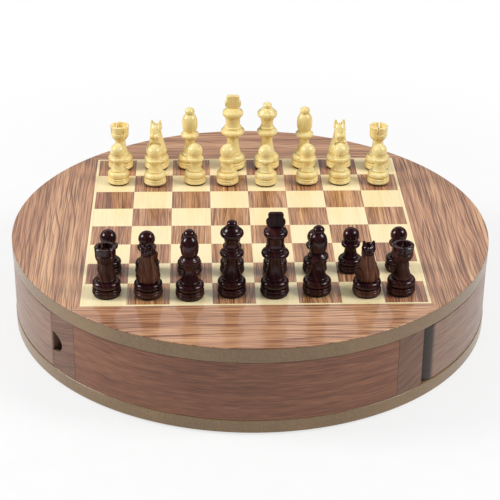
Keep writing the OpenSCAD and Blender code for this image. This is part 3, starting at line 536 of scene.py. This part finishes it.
def lathe_tree():
    tree = bpy.data.node_groups.new("turn_on_lathe", "GeometryNodeTree")
    sockets = {}
    for name, kind in (("Outline", "Geometry"), ("Steps", "Int"), ("Felt Top", "Float"),
                       ("Wood", "Material"), ("Felt", "Material")):
        sockets[name] = tree.interface.new_socket(
            name, in_out="INPUT", socket_type="NodeSocket" + kind).identifier
    tree.interface.new_socket("Turned", in_out="OUTPUT", socket_type="NodeSocketGeometry")
    nodes = Nodes(tree)
    start = tree.nodes.new("NodeGroupInput")
    given = {name: Wire(nodes, start.outputs[name]) for name in sockets}
    points = nodes.node("GeometryNodeAttributeDomainSize", inputs={0: given["Outline"]})
    grid = nodes.node("GeometryNodeMeshGrid", inputs={
        "Vertices X": given["Steps"] + 1, "Vertices Y": points})
    index = nodes.node("GeometryNodeInputIndex")
    column = (index / points + ROUNDING).math("FLOOR")
    row = index - column * points
    here = nodes.node("GeometryNodeInputPosition")
    outline = nodes.node("GeometryNodeSampleIndex", {"data_type": "FLOAT_VECTOR"}, {
        "Geometry": given["Outline"], "Value": here, "Index": row})
    radius, _, height = nodes.xyz(outline)
    angle = column / given["Steps"] * math.tau
    swept = nodes.vector(radius * angle.math("COSINE"), radius * angle.math("SINE"), height)
    shape = nodes.node("GeometryNodeSetPosition", inputs={"Geometry": grid, "Position": swept})
    shape = nodes.node("GeometryNodeMergeByDistance", inputs={"Geometry": shape, "Distance": DOUBLES})
    shape = nodes.node("GeometryNodeSetShadeSmooth", inputs={"Geometry": shape})
    shape = nodes.node("GeometryNodeRealizeInstances", inputs={"Geometry": shape})
    shape = nodes.node("GeometryNodeSetMaterial", inputs={"Geometry": shape, "Material": given["Wood"]})
    level = nodes.xyz(nodes.node("GeometryNodeInputPosition"))[2]
    shape = nodes.node("GeometryNodeSetMaterial", inputs={
        "Geometry": shape, "Selection": level < given["Felt Top"], "Material": given["Felt"]})
    nodes.end("NodeGroupOutput", shape)
    return tree, sockets


LATHE, LATHE_SOCKETS = lathe_tree()
print("lathe tree:", len(LATHE.nodes), "nodes")

# %% [markdown]
# ## From a blank to a piece
# A modifier needs an object to work on, so each mesh gets a blank for that time only, and the result
# is read back as a plain mesh. After turning or cutting, the normals of a shell are turned outward and
# its material slots are put in order.


# %% Helpers for blanks and pieces
def blank_of(mesh, name):
    blank = bpy.data.objects.new(name, mesh)
    bpy.context.collection.objects.link(blank)
    return blank


def read_back(blank):
    mesh = bpy.data.meshes.new_from_object(
        blank.evaluated_get(bpy.context.evaluated_depsgraph_get()))
    blank.modifiers.clear()
    bpy.data.objects.remove(blank)
    return mesh


def tidy_shell(mesh, materials):
    names = [material.name for material in materials]
    places = [names.index(m.name) if m and m.name in names else 0 for m in mesh.materials] or [0]
    shell = bmesh.new()
    shell.from_mesh(mesh)
    bmesh.ops.recalc_face_normals(shell, faces=shell.faces)
    mesh.materials.clear()
    for material in materials:
        mesh.materials.append(material)
    for face in shell.faces:
        face.material_index = places[min(face.material_index, len(places) - 1)]
    shell.to_mesh(mesh)
    shell.free()


def turn(name, outline_mm, wood_material, steps=64, felt_top=-1.0, felt_material=None):
    mesh = bpy.data.meshes.new(name)
    mesh.from_pydata([(r * MM, 0, z * MM) for r, z in outline_mm],
                     [(i, i + 1) for i in range(len(outline_mm) - 1)], [])
    blank = blank_of(mesh, name + "_outline")
    lathe = blank.modifiers.new("lathe", "NODES")
    lathe.node_group = LATHE
    for socket, value in (("Steps", steps), ("Felt Top", felt_top * MM), ("Wood", wood_material),
                          ("Felt", felt_material or wood_material)):
        lathe[LATHE_SOCKETS[socket]] = value
    blank.update_tag()
    turned = read_back(blank)
    tidy_shell(turned, [wood_material, felt_material] if felt_material else [wood_material])
    return turned


def add_piece(name, mesh, body, slot, *replaced, sharp=35):
    mesh.set_sharp_from_angle(angle=math.radians(sharp))
    piece = bpy.data.objects.new(name, mesh)
    bpy.context.collection.objects.link(piece)
    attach(piece, body)
    if replaced:
        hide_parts(*replaced)
    return piece


# %% [markdown]
# ## Panels
# Both panels are discs whose edges have been eased with sandpaper, a quarter round of about half a
# millimetre. The edge catches a thin line of light, which is what makes it look like wood and not like a
# drawing. The upper edge of the top panel stays square, because the veneer lies on it. The discs are
# turned on the lathe, with many steps because they are large. The angle that counts as sharp is below
# half a step of the quarter round, so the flats keep their own normals.

# %% Turn both panels
DISC_STEPS = 240
EASE_STEP = 18
DISC_SHARP = 8
PANEL_EASE = 0.6
VENEER_EASE = 0.25


def eased_disc(radius, low, high, ease, ease_top=True):
    def corner(z, up):
        return [(radius - ease + ease * math.cos(a), z + ease * math.sin(a) * up)
                for a in (math.radians(d) for d in range(0, 91, EASE_STEP))]
    bottom = corner(low + ease, -1)[::-1]
    top = corner(high - ease, 1) if ease_top else [(radius, high)]
    return [(0, low)] + bottom + top + [(0, high)]


for name, eased_top in (("top_panel", False), ("bottom_panel", True)):
    low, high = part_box(name)
    disc = eased_disc(high[0] / MM, low[2] / MM, high[2] / MM, PANEL_EASE, eased_top)
    mesh = turn(name, disc, PANEL, steps=DISC_STEPS)
    add_piece(name + "_turned", mesh, "case", "panel_edge", name, sharp=DISC_SHARP)
    print(name, len(mesh.polygons), "faces")

# %% [markdown]
# ## Surround
# The veneer round the board is a disc as well, with the same number of steps as the panel under it, so
# both rims run as one line. The square of the board is cut out of it with a boolean.


# %% Box cutter and boolean
def box_mesh(name, low, high, matrix=Matrix.Identity(4)):
    mesh = bpy.data.meshes.new(name)
    shape = bmesh.new()
    bmesh.ops.create_cube(shape, size=1)
    middle = (Vector(low) + Vector(high)) / 2
    size = Vector(high) - Vector(low)
    for v in shape.verts:
        v.co = matrix @ (Vector([v.co[i] * size[i] + middle[i] for i in range(3)]) * MM)
    shape.to_mesh(mesh)
    shape.free()
    return mesh


def cut_away(mesh, other):
    blank = blank_of(mesh, mesh.name)
    cutter = blank_of(other, other.name)
    cut = blank.modifiers.new("cut", "BOOLEAN")
    cut.operation = "DIFFERENCE"
    cut.solver = "MANIFOLD"
    cut.object = cutter
    result = read_back(blank)
    bpy.data.objects.remove(cutter)
    return result


# %% Turn and cut the surround
low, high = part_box("board_surround")
hole_low, hole_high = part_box("board_stringing")
disc = eased_disc(high[0] / MM, low[2] / MM, high[2] / MM, VENEER_EASE)
past = 1
hole = box_mesh("hole", [v / MM for v in hole_low[:2]] + [low[2] / MM - past],
                [v / MM for v in hole_high[:2]] + [high[2] / MM + past])
mesh = cut_away(turn("surround", disc, SURROUND, steps=DISC_STEPS), hole)
tidy_shell(mesh, [SURROUND])
add_piece("board_surround_turned", mesh, "case", "surround_veneer", "board_surround", sharp=DISC_SHARP)
print("surround", len(mesh.polygons), "faces")

# %% [markdown]
# ## Boards with eased edges
# The walls, posts and drawer parts already have the right shape in the frame. A real board has no
# knife edge, so each gets a copy of its mesh with the doubles merged, the flat
# triangles joined into whole faces, and a fine bevel. Weighted normals keep the large faces flat in
# the light, so only the bevel shines.

# %% Ease the boards
FLAT_ANGLE = math.radians(0.4)
EDGE_ANGLE = math.radians(40)
WALL_EASE = 0.35
TRAY_EASE = 0.3


def eased_copy(node, material, ease_mm):
    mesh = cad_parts[node].data.copy()
    board = bmesh.new()
    board.from_mesh(mesh)
    bmesh.ops.remove_doubles(board, verts=board.verts, dist=DOUBLES)
    bmesh.ops.dissolve_limit(board, angle_limit=FLAT_ANGLE, verts=board.verts, edges=board.edges)
    board.to_mesh(mesh)
    board.free()
    mesh.materials.clear()
    mesh.materials.append(material)
    for face in mesh.polygons:
        face.use_smooth = True
    blank = blank_of(mesh, node + "_blank")
    bevel = blank.modifiers.new("ease", "BEVEL")
    bevel.width = ease_mm * MM
    bevel.segments = 2
    bevel.limit_method = "ANGLE"
    bevel.angle_limit = EDGE_ANGLE
    bevel.use_clamp_overlap = True
    weighted = blank.modifiers.new("weighted", "WEIGHTED_NORMAL")
    weighted.keep_sharp = True
    return read_back(blank)


def ease(node, body, slot, material, ease_mm=WALL_EASE):
    add_piece(node + "_eased", eased_copy(node, material, ease_mm), body, slot, node)


for node in ("front_wall", "back_wall"):
    ease(node, "case", "wall_wood", WALL)
for node in ("notch_pillar_front", "notch_pillar_back", "pivot_pillar_front", "pivot_pillar_back"):
    ease(node, "case", "pillar_wood", POST)
ease("centre_partition", "case", "tray_ply", PLY)
for side in ("right", "left"):
    body = side + "_drawer"
    ease(body + "_front", body, "drawer_wood", DRAWER)
    for part in ("inner_wall", "pivot_wall", "end_wall", "floor"):
        ease(body + "_" + part, body, "tray_ply", PLY, TRAY_EASE)
print("boards eased")

# %% [markdown]
# ## Parts that stay as the frame has them
# The veneer of the squares is too thin to need a bevel, and the pins, washers, pads and linings are
# plain discs, rods and sheets. They keep their CAD shape and only take a finish.

# %% Finish the plain parts
PLAIN_PARTS = {
    "light_squares": MAPLE, "board_stringing": MAPLE, "dark_squares": WALNUT, "base_pads": PAD_FELT,
    "drawer_pins": STEEL, "drawer_washers": FIBRE, "right_drawer_lining": DRAWER_FELT,
    "left_drawer_lining": DRAWER_FELT}
for node, material in PLAIN_PARTS.items():
    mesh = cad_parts[node].data
    mesh.materials.clear()
    mesh.materials.append(material)
print(len(PLAIN_PARTS), "plain parts dressed")

# %% [markdown]
# ## Outlines of the men
# A turner cuts the same few forms again and again: a bead, a hollow and a ball. A helper makes the
# points of each, and a man is a list of them from the felt up, as radius and height in millimetres.
# All men share one foot: a ring, a thin bead and a fat round, scaled a little in height. On all but
# the knight a stem rises from a low ridge above it, and on all but the rook it ends in a collar.

# %% Forms of the turner
BEAD_STEPS = 12
CURVE_STEPS = 10
FELT = 1.0
FELT_STEP = 0.8
FOOT_R = 8.5
FOOT_RING = 2.7
FOOT_BEAD = 1.6
FOOT_ROUND = 4.9
RIDGE_R = 6.0
RIDGE_HEIGHT = 1.4


def bead(r, z, height, bulge):
    return [(r - bulge + bulge * math.cos(a), z + height / 2 * math.sin(a))
            for a in (math.pi * (i / BEAD_STEPS - 0.5) for i in range(BEAD_STEPS + 1))]


def hollow(p, corner, q):
    points = []
    for i in range(1, CURVE_STEPS):
        t = i / CURVE_STEPS
        a, b, c = (1 - t) ** 2, 2 * t * (1 - t), t * t
        points.append((a * p[0] + b * corner[0] + c * q[0], a * p[1] + b * corner[1] + c * q[1]))
    return points


def ball(r, z, neck_r, squash=1.0):
    start = -math.acos(neck_r / r)
    angles = [start + (math.pi / 2 - start) * i / BEAD_STEPS for i in range(BEAD_STEPS)]
    return [(r * math.cos(a), z + r * squash * math.sin(a)) for a in angles] + [(0, z + r * squash)]


def foot(share, r=FOOT_R):
    ring, thin, fat = FOOT_RING * share, FOOT_BEAD * share, FOOT_ROUND * share
    felt_r = r - FELT_STEP
    return ([(0, 0), (felt_r, 0), (felt_r, FELT)] + bead(r, FELT + ring / 2, ring, ring / 3)
            + bead(r - 0.2, FELT + ring + thin / 2, thin, thin / 3)
            + bead(r - 0.2, FELT + ring + thin + fat / 2, fat, fat * 0.46))


def foot_top(share):
    return FELT + share * (FOOT_RING + FOOT_BEAD + FOOT_ROUND)


def stem(z_foot, r_thin, z_end, r_ridge=RIDGE_R):
    ridge = bead(r_ridge, z_foot + RIDGE_HEIGHT / 2, RIDGE_HEIGHT, 0.5)
    rise = z_end - z_foot
    end = (r_thin, z_foot + rise * 0.8)
    return ridge + hollow(ridge[-1], (r_thin + 0.3, z_foot + rise * 0.42), end) + [end, (r_thin, z_end)]


def collar(r, z, thick, r_under, r_over, z_over):
    edge = bead(r, z, thick, thick * 0.4)
    return (hollow((r_under, z - thick), (r_under + 0.4, z - thick * 0.55), edge[0]) + edge
            + hollow(edge[-1], ((edge[-1][0] + r_over) / 2, z_over - 0.5), (r_over, z_over)))


def up_to_collar(foot_share, stem_r, collar_r, collar_z, thick, throat, foot_r=FOOT_R, ridge_r=RIDGE_R):
    return (foot(foot_share, foot_r) + stem(foot_top(foot_share), stem_r, collar_z - thick, ridge_r)
            + collar(collar_r, collar_z, thick, stem_r, *throat))


# %% Pawn, rook, bishop
ROOK_TOP = 31.2
TOWER_CHAMFER = 0.3


def pawn_outline():
    height, ball_r, collar_z, collar_thick = 28, 5.0, 17.5, 2.6
    throat = (4.2, collar_z + collar_thick)
    return (up_to_collar(0.86, 3.5, 5.7, collar_z, collar_thick, throat, foot_r=7.4, ridge_r=4.9)
            + ball(ball_r, height - ball_r, throat[0]))


def rook_outline():
    share, stem_r, stem_end, tower_r = 0.96, 3.7, 21, 6.3
    cup, groove_z, groove = (6.05, 25.05), 26.4, 0.5
    well_r, well_z = 4.4, ROOK_TOP - 3
    return (foot(share) + stem(foot_top(share), stem_r, stem_end)
            + hollow((stem_r, stem_end), (5.77, 22.3), cup)
            + [cup, (cup[0], groove_z - groove), (cup[0] - groove, groove_z), (cup[0], groove_z + groove)]
            + [(tower_r, ROOK_TOP - TOWER_CHAMFER), (tower_r - TOWER_CHAMFER, ROOK_TOP)]
            + [(well_r, ROOK_TOP), (well_r, well_z), (0, well_z)])


def bishop_outline():
    height, collar_z, mitre_r, mitre_z, neck = 43.2, 23.5, 5.3, 32.4, (2.7, 38.7)
    button_r, button_flat = 3.4, 0.82
    throat, widest = (3.8, collar_z + 2.6), (mitre_r, mitre_z)
    return (up_to_collar(0.9, 3.4, 6.2, collar_z, 2.9, throat)
            + hollow(throat, (mitre_r, throat[1] + 1.7), widest) + [widest]
            + hollow(widest, (mitre_r, neck[1] - 2), neck)
            + ball(button_r, height - button_r * button_flat, neck[0], button_flat))


# %% Queen and king
CROWN_HEIGHT = 4
CROWN_BULGE = 1.44
ROYAL_THICK = 3.2
ROYAL_THROAT = 2.55
KING_TOP = 43.4


def ring_and_crown(waist_r, collar_z, crown_r, crown_z):
    ring = bead(waist_r + 1, collar_z + 3.3, 1.5, 0.6)
    waist = (waist_r, collar_z + 6.6)
    crown = bead(crown_r, crown_z, CROWN_HEIGHT, CROWN_BULGE)
    return (ring + hollow(ring[-1], (waist_r, ring[-1][1] + 0.6), waist) + [waist]
            + hollow(waist, (waist_r + 0.3, crown[0][1] - 1), crown[0]) + crown)


def above_crown(crown_r, crown_z, corner, end):
    return hollow((crown_r - CROWN_BULGE, crown_z + CROWN_HEIGHT / 2), corner, end)


def queen_outline():
    height, collar_z, crown_r, neck = 47.4, 26.4, 6.8, (2.44, 43.9)
    ball_r, ball_flat, crown_z = 3.05, 0.72, neck[1] - 4.6
    return (up_to_collar(0.96, 3.8, 7.0, collar_z, ROYAL_THICK, (4.6, collar_z + ROYAL_THROAT))
            + ring_and_crown(4.0, collar_z, crown_r, crown_z)
            + above_crown(crown_r, crown_z, (4.3, neck[1] - 0.6), neck)
            + ball(ball_r, height - ball_r * ball_flat, neck[0], ball_flat))


def king_outline():
    collar_z, crown_r, crown_z, end = 26.8, 7.1, KING_TOP - 3.4, (3.6, KING_TOP)
    return (up_to_collar(1.0, 3.95, 8.1, collar_z, ROYAL_THICK, (5.5, collar_z + ROYAL_THROAT))
            + ring_and_crown(4.9, collar_z, crown_r, crown_z)
            + above_crown(crown_r, crown_z, (4.6, KING_TOP - 0.5), end) + [end, (0, KING_TOP)])


print("points in the king's outline:", len(king_outline()))

# %% [markdown]
# ## Cuts and crosses
# Not everything on a man is turned. The rook's battlement has four slots, sawn after turning, so they
# are booleans with thin boxes. The king's cross is sawn from a small board: its outline is extruded,
# eased and set on the crown. The outline is the right half, as shares of half the width and of the
# height, and the left half mirrors it.

# %% Rook and king meshes
SLOT_HALF_WIDTH = 0.5
SLOT_BOTTOM = 27
PAST_TOWER = 9
CROSS = [(0.58, -0.08), (0.62, 0.04), (0.86, 0.15), (0.98, 0.28), (1.0, 0.4), (0.93, 0.52), (0.78, 0.6),
         (0.71, 0.65), (0.77, 0.72), (0.8, 0.84), (0.72, 0.95), (0.54, 1)]
CROSS_HALF_WIDTH = 5.6
CROSS_HALF_DEPTH = 1.7
CROSS_HEIGHT = 9.2
CROSS_EASE = 0.6


def turned_man(kind, outline):
    return turn(kind, outline, BOXWOOD, felt_top=FELT - 0.01, felt_material=MAN_FELT)


def rook_mesh():
    mesh = turned_man("rook", rook_outline())
    for angle in (0, 90):
        slot = box_mesh("slot", (-PAST_TOWER, -SLOT_HALF_WIDTH, SLOT_BOTTOM),
                        (PAST_TOWER, SLOT_HALF_WIDTH, ROOK_TOP + 1.8),
                        Matrix.Rotation(math.radians(angle), 4, "Z"))
        mesh = cut_away(mesh, slot)
    tidy_shell(mesh, [BOXWOOD, MAN_FELT])
    return mesh


def cross_mesh():
    right = [(x * CROSS_HALF_WIDTH, KING_TOP + z * CROSS_HEIGHT) for x, z in CROSS]
    outline = right + [(-x, z) for x, z in right[::-1]]
    shape = bmesh.new()
    face = shape.faces.new([shape.verts.new((x * MM, -CROSS_HALF_DEPTH * MM, z * MM)) for x, z in outline])
    made = bmesh.ops.extrude_face_region(shape, geom=[face])["geom"]
    for v in made:
        if isinstance(v, bmesh.types.BMVert):
            v.co.y += 2 * CROSS_HALF_DEPTH * MM
    rims = [e for e in shape.edges if abs(e.verts[0].co.y - e.verts[1].co.y) < DOUBLES]
    bmesh.ops.bevel(shape, geom=rims, offset=CROSS_EASE * MM, segments=3, profile=0.5, affect="EDGES")
    bmesh.ops.recalc_face_normals(shape, faces=shape.faces)
    for f in shape.faces:
        f.smooth = True
    mesh = bpy.data.meshes.new("cross")
    shape.to_mesh(mesh)
    shape.free()
    return mesh


def joined(*meshes):
    whole = bmesh.new()
    for mesh in meshes:
        whole.from_mesh(mesh)
    whole.to_mesh(meshes[0])
    whole.free()
    return meshes[0]


def king_mesh():
    return joined(turned_man("king", king_outline()), cross_mesh())


print("cross points:", len(CROSS) * 2)

# %% [markdown]
# ## Knight
# The knight is the one man that is carved. Its neck, head and chest are rows of oval slices: the neck
# goes straight up to the poll, and the head bends from there forward and down to the muzzle. A slice
# is its place forward and up, half its width, half its depth and its tilt in degrees. The three lofts,
# the ears, the cheeks and the jaws are closed shapes that overlap; a voxel remesh fuses them to one
# skin and a smoothing pass softens it as sandpaper does. Mouth, chin, nostrils, eyes, the groove round
# the nape and the parting between the ears are pressed in last, because the remesh would close them.

# %% Loft through oval slices
NECK = [(0, 9.0, 5.2, 5.2, 0), (0, 10.0, 6.4, 6.4, 0), (0, 11.4, 7.1, 7.1, 0), (0, 13.0, 7.3, 7.1, 0),
        (-0.1, 15.0, 6.7, 6.5, 2), (-0.4, 17.6, 5.6, 5.4, 4), (-0.7, 20.6, 4.6, 4.5, 4),
        (-0.8, 23.8, 3.8, 4.0, 0), (-0.6, 26.6, 3.4, 3.9, -4), (-0.5, 28.2, 3.7, 4.0, -6),
        (-0.3, 30.6, 3.7, 3.8, -8), (-0.1, 31.9, 2.8, 2.6, -8)]
HEAD = [(-0.6, 30.0, 3.6, 2.8, 46), (0.8, 29.7, 3.7, 3.3, 52), (2.4, 27.6, 3.7, 3.5, 58),
        (3.9, 25.2, 3.6, 3.2, 60), (4.9, 23.0, 3.6, 2.8, 62), (5.5, 21.3, 3.5, 2.5, 62),
        (5.9, 20.2, 3.3, 2.1, 62), (6.1, 19.5, 2.2, 1.4, 62)]
CHEST = [(3.0, 9.6, 5.0, 4.8, 0), (3.6, 12.0, 5.2, 4.9, 4), (3.3, 14.4, 4.6, 4.3, 12),
         (1.9, 16.6, 3.6, 3.0, 24)]


def loft(shape, slices, around=28):
    ovals = []
    for y, z, half_width, half_depth, tilt in slices:
        lean = math.radians(tilt)
        oval = []
        for i in range(around):
            a = math.tau * i / around
            out = half_depth * math.sin(a)
            oval.append(shape.verts.new((half_width * math.cos(a) * MM,
                                         (y + out * math.cos(lean)) * MM,
                                         (z + out * math.sin(lean)) * MM)))
        ovals.append(oval)
    for low, high in zip(ovals, ovals[1:]):
        for i in range(around):
            j = (i + 1) % around
            shape.faces.new((low[i], low[j], high[j], high[i]))
    shape.faces.new(ovals[0][::-1])
    shape.faces.new(ovals[-1])


# %% Ears, cheeks and jaws
CHEEK_AND_JAW = ((0.9, 28.2, 3.1, 0.66), (5.2, 24.6, 2.2, 0.84))
CHEEK_SIDE = 1.5
EAR_SIDE = 2.5
EAR_FORWARD = -0.5
EAR_UP = 31.7
EAR_BASE_R = 2.1
EAR_TIP_R = 0.75
EAR_LENGTH = 5.6
EAR_LEAN = math.radians(-2)
EAR_SPREAD = math.radians(7)


def knight_head():
    shape = bmesh.new()
    for slices in (NECK, HEAD, CHEST):
        loft(shape, slices)
    for side in (-1, 1):
        for y, z, r, squash in CHEEK_AND_JAW:
            lump = bmesh.ops.create_icosphere(shape, subdivisions=3, radius=r * MM)["verts"]
            for v in lump:
                v.co = Vector((v.co.x * squash + side * CHEEK_SIDE * MM, v.co.y + y * MM, v.co.z + z * MM))
        ear = bmesh.ops.create_cone(shape, cap_ends=True, segments=16, radius1=EAR_BASE_R * MM,
                                    radius2=EAR_TIP_R * MM, depth=EAR_LENGTH * MM)["verts"]
        place = (Matrix.Translation(Vector((side * EAR_SIDE, EAR_FORWARD, EAR_UP)) * MM)
                 @ Matrix.Rotation(EAR_LEAN, 4, "X") @ Matrix.Rotation(side * EAR_SPREAD, 4, "Y"))
        for v in ear:
            v.co = place @ v.co
    mesh = bpy.data.meshes.new("knight_head")
    shape.to_mesh(mesh)
    shape.free()
    return mesh


def fused(mesh, voxel_mm, smooth_times):
    blank = blank_of(mesh, mesh.name + "_blank")
    remesh = blank.modifiers.new("fuse", "REMESH")
    remesh.mode = "VOXEL"
    remesh.voxel_size = voxel_mm * MM
    smooth = blank.modifiers.new("sand", "SMOOTH")
    smooth.factor = 0.5
    smooth.iterations = smooth_times
    return read_back(blank)


# %% Carve and set the head on its foot
FACE_FROM_Y = 3.4
FACE_FROM_Z = 17
NAPE_TO_Y = 1.5
MOUTH_Z = 21.9
MOUTH_SLOPE = 0.3
LIPS_Y = 6.0
CHIN_Z = 18.4
NAPE_Z = 27.2
PARTING_FROM_Z = 27
PARTING_HALF_WIDTH = 1.6
NOSTRIL = Vector((2.0, 6.9, 23.6))
EYE = Vector((3.5, 2.9, 28.6))
EYELID_R = 1.3


def press(depth, distance, reach=1):
    return depth * max(0, 1 - distance / reach)


def depth_at(p):
    mirrored = Vector((abs(p.x), p.y, p.z))
    from_eye = (mirrored - EYE).length
    depth = press(-0.4, from_eye, reach=0.8) + press(0.35, abs(from_eye - EYELID_R), reach=0.4)
    depth += press(0.5, (mirrored - NOSTRIL).length, reach=0.8)
    if p.y > FACE_FROM_Y and p.z > FACE_FROM_Z:
        depth += press(0.5, abs(p.z - MOUTH_Z + (p.y - LIPS_Y) * MOUTH_SLOPE), reach=0.5)
        depth += press(1.3, abs(p.z - CHIN_Z), reach=0.9)
    if p.y < NAPE_TO_Y:
        depth += press(0.45, abs(p.z - NAPE_Z), reach=0.7)
        rise = min(1, max(0, (p.z - PARTING_FROM_Z) / 2))
        depth += press(1.2, (p.x / PARTING_HALF_WIDTH) ** 2) * rise
    return depth


def carve(mesh):
    normals = [normal.vector.copy() for normal in mesh.vertex_normals]
    places = []
    for v, normal in zip(mesh.vertices, normals):
        places.extend(v.co - normal * depth_at(v.co / MM) * MM)
    mesh.vertices.foreach_set("co", places)
    mesh.update()


def knight_mesh():
    share, plate_r = 0.92, 5.6
    plate_z = foot_top(share) + 0.3
    head = fused(knight_head(), voxel_mm=0.34, smooth_times=6)
    carve(head)
    for polygon in head.polygons:
        polygon.use_smooth = True
    return joined(turned_man("knight", foot(share) + [(plate_r, plate_z), (0, plate_z)]), head)


# %% [markdown]
# ## Setting up the board
# Each kind of man is made once, and every man on the board is a copy of it with the wood of its side,
# moved and turned in its own mesh. The grain is drawn on object coordinates, so two copies in
# different places show different wood. The dark side looks away from the near edge, the light side
# towards it, and where each man stands comes from the frame. Only the rooks and the knights show which
# way they are turned, so only some of them have an angle of their own, in degrees.

# %% Stand the men on the board
patterns = {
    "pawn": turned_man("pawn", pawn_outline()), "rook": rook_mesh(), "knight": knight_mesh(),
    "bishop": turned_man("bishop", bishop_outline()), "queen": turned_man("queen", queen_outline()),
    "king": king_mesh()}
TURNS = {"dark_rook_a": 29, "dark_knight_b": -32, "light_rook_a": 27, "light_rook_h": -10,
         "light_knight_b": -10, "light_knight_g": 5}
for node in sorted(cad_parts):
    if not node.startswith(("dark_", "light_")) or node.endswith("squares"):
        continue
    colour_name, kind = node.split("_")[:2]
    low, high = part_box(node)
    facing = math.radians(TURNS.get(node, 0) + (0 if colour_name == "dark" else 180))
    middle = ((low[0] + high[0]) / 2, (low[1] + high[1]) / 2)
    mesh = patterns[kind].copy()
    mesh.name = node + "_turned"
    mesh.materials[0] = STAINED_SATIN_SHEEN.get(kind, STAINED) if colour_name == "dark" else BOXWOOD
    mesh.transform(Matrix.Translation((middle[0], middle[1], low[2])) @ Matrix.Rotation(facing, 4, "Z"))
    add_piece(node + "_turned", mesh, node, colour_name + "_man_wood", node)
for kind, mesh in patterns.items():
    print(kind, len(mesh.polygons), "faces")

# %% [markdown]
# ## Light, floor and background
# Two softboxes stand high on the left and on the right, and a plain sky fills the shadows. The floor
# is a round sheet of white paper that keeps a soft shadow; camera, glossy and transmission rays see it
# nearly white, and quite white towards its rim. The sky is white for camera rays. For glossy rays it
# is bright only low at the back, as a lit paper sweep would be, so the lacquer of the board shows it
# between the men.


# %% Softboxes
def softbox(name, direction, power, size=0.44, distance=1.25):
    light = bpy.data.lights.new(name, "AREA")
    light.shape = "SQUARE"
    light.size = size
    light.energy = power
    lamp = bpy.data.objects.new(name, light)
    lamp.location = Vector(direction).normalized() * distance
    lamp.rotation_euler = Vector(direction).to_track_quat("Z", "Y").to_euler()
    bpy.context.collection.objects.link(lamp)


softbox("softbox_left", (-0.832, -0.024, 0.555), power=10.0)
softbox("softbox_right", (0.693, -0.2, 0.693), power=7.6)

# %% Floor
FLOOR_RADIUS = 0.5
FLOOR_SIDES = 96
SHADOW_RADIUS = 0.2
WHITE_RADIUS = 0.46
GLOW_BY_OBJECT = 0.72
floor_mesh = bpy.data.meshes.new("floor")
turns = [math.tau * i / FLOOR_SIDES for i in range(FLOOR_SIDES)]
rim = [(FLOOR_RADIUS * math.cos(a), FLOOR_RADIUS * math.sin(a), 0) for a in turns]
floor_mesh.from_pydata(rim, [], [list(range(FLOOR_SIDES))])
floor = bpy.data.objects.new("floor", floor_mesh)
bpy.context.collection.objects.link(floor)
paper = Finish("floor_paper", Roughness=0.9, IOR=1.3)
tooth = paper.noise(paper.place(), scale=60.0)
paper.wear(paper.ramp(tooth, [(0.3, rgb(234, 234, 234)), (0.7, rgb(240, 240, 240))]))
seen = paper.is_ray("Camera")
for kind in ("Glossy", "Transmission"):
    seen = seen.math("MAXIMUM", paper.is_ray(kind))
from_middle = paper.node("ShaderNodeVectorMath", {"operation": "LENGTH"}, {0: paper.place()}, output="Value")
outward = paper.mask(from_middle, SHADOW_RADIUS, WHITE_RADIUS)
glow = paper.node("ShaderNodeEmission", inputs={"Color": (1, 1, 1, 1), "Strength": 1.0})
both = paper.node("ShaderNodeMixShader", inputs={
    0: seen * (GLOW_BY_OBJECT + outward * (1 - GLOW_BY_OBJECT)),
    1: Wire(paper, paper.surface.outputs[0]), 2: glow})
paper.tree.links.new(both.socket, paper.ending.inputs[0])
floor_mesh.materials.append(paper.material)
print("floor set")

# %% Sky
SWEEP_BACK = (0.25, 0.75)
SWEEP_FOOT = (0.3, 0.5)
SWEEP_TOP = (0.6, 0.85)
world = bpy.data.worlds.new("studio")
bpy.context.scene.world = world
world.use_nodes = True
world.node_tree.nodes.clear()
sky = Nodes(world.node_tree)
camera_ray = sky.is_ray("Camera")
glossy_ray = sky.is_ray("Glossy")
x, y, z = sky.xyz(sky.node("ShaderNodeTexCoord", output="Generated"))
fill = z.math("MAXIMUM", 0.0) * 0.5 + 0.1
sweep = sky.mask(y, *SWEEP_BACK) * sky.mask(z, *SWEEP_FOOT) * (1 - sky.mask(z, *SWEEP_TOP))
studio = (1 - glossy_ray) * fill + glossy_ray * (sweep + 0.05)
strength = camera_ray + (1 - camera_ray) * studio
background = sky.node("ShaderNodeBackground", inputs={"Color": (1, 1, 1, 1), "Strength": strength})
sky.end("ShaderNodeOutputWorld", background)
print("sky set")
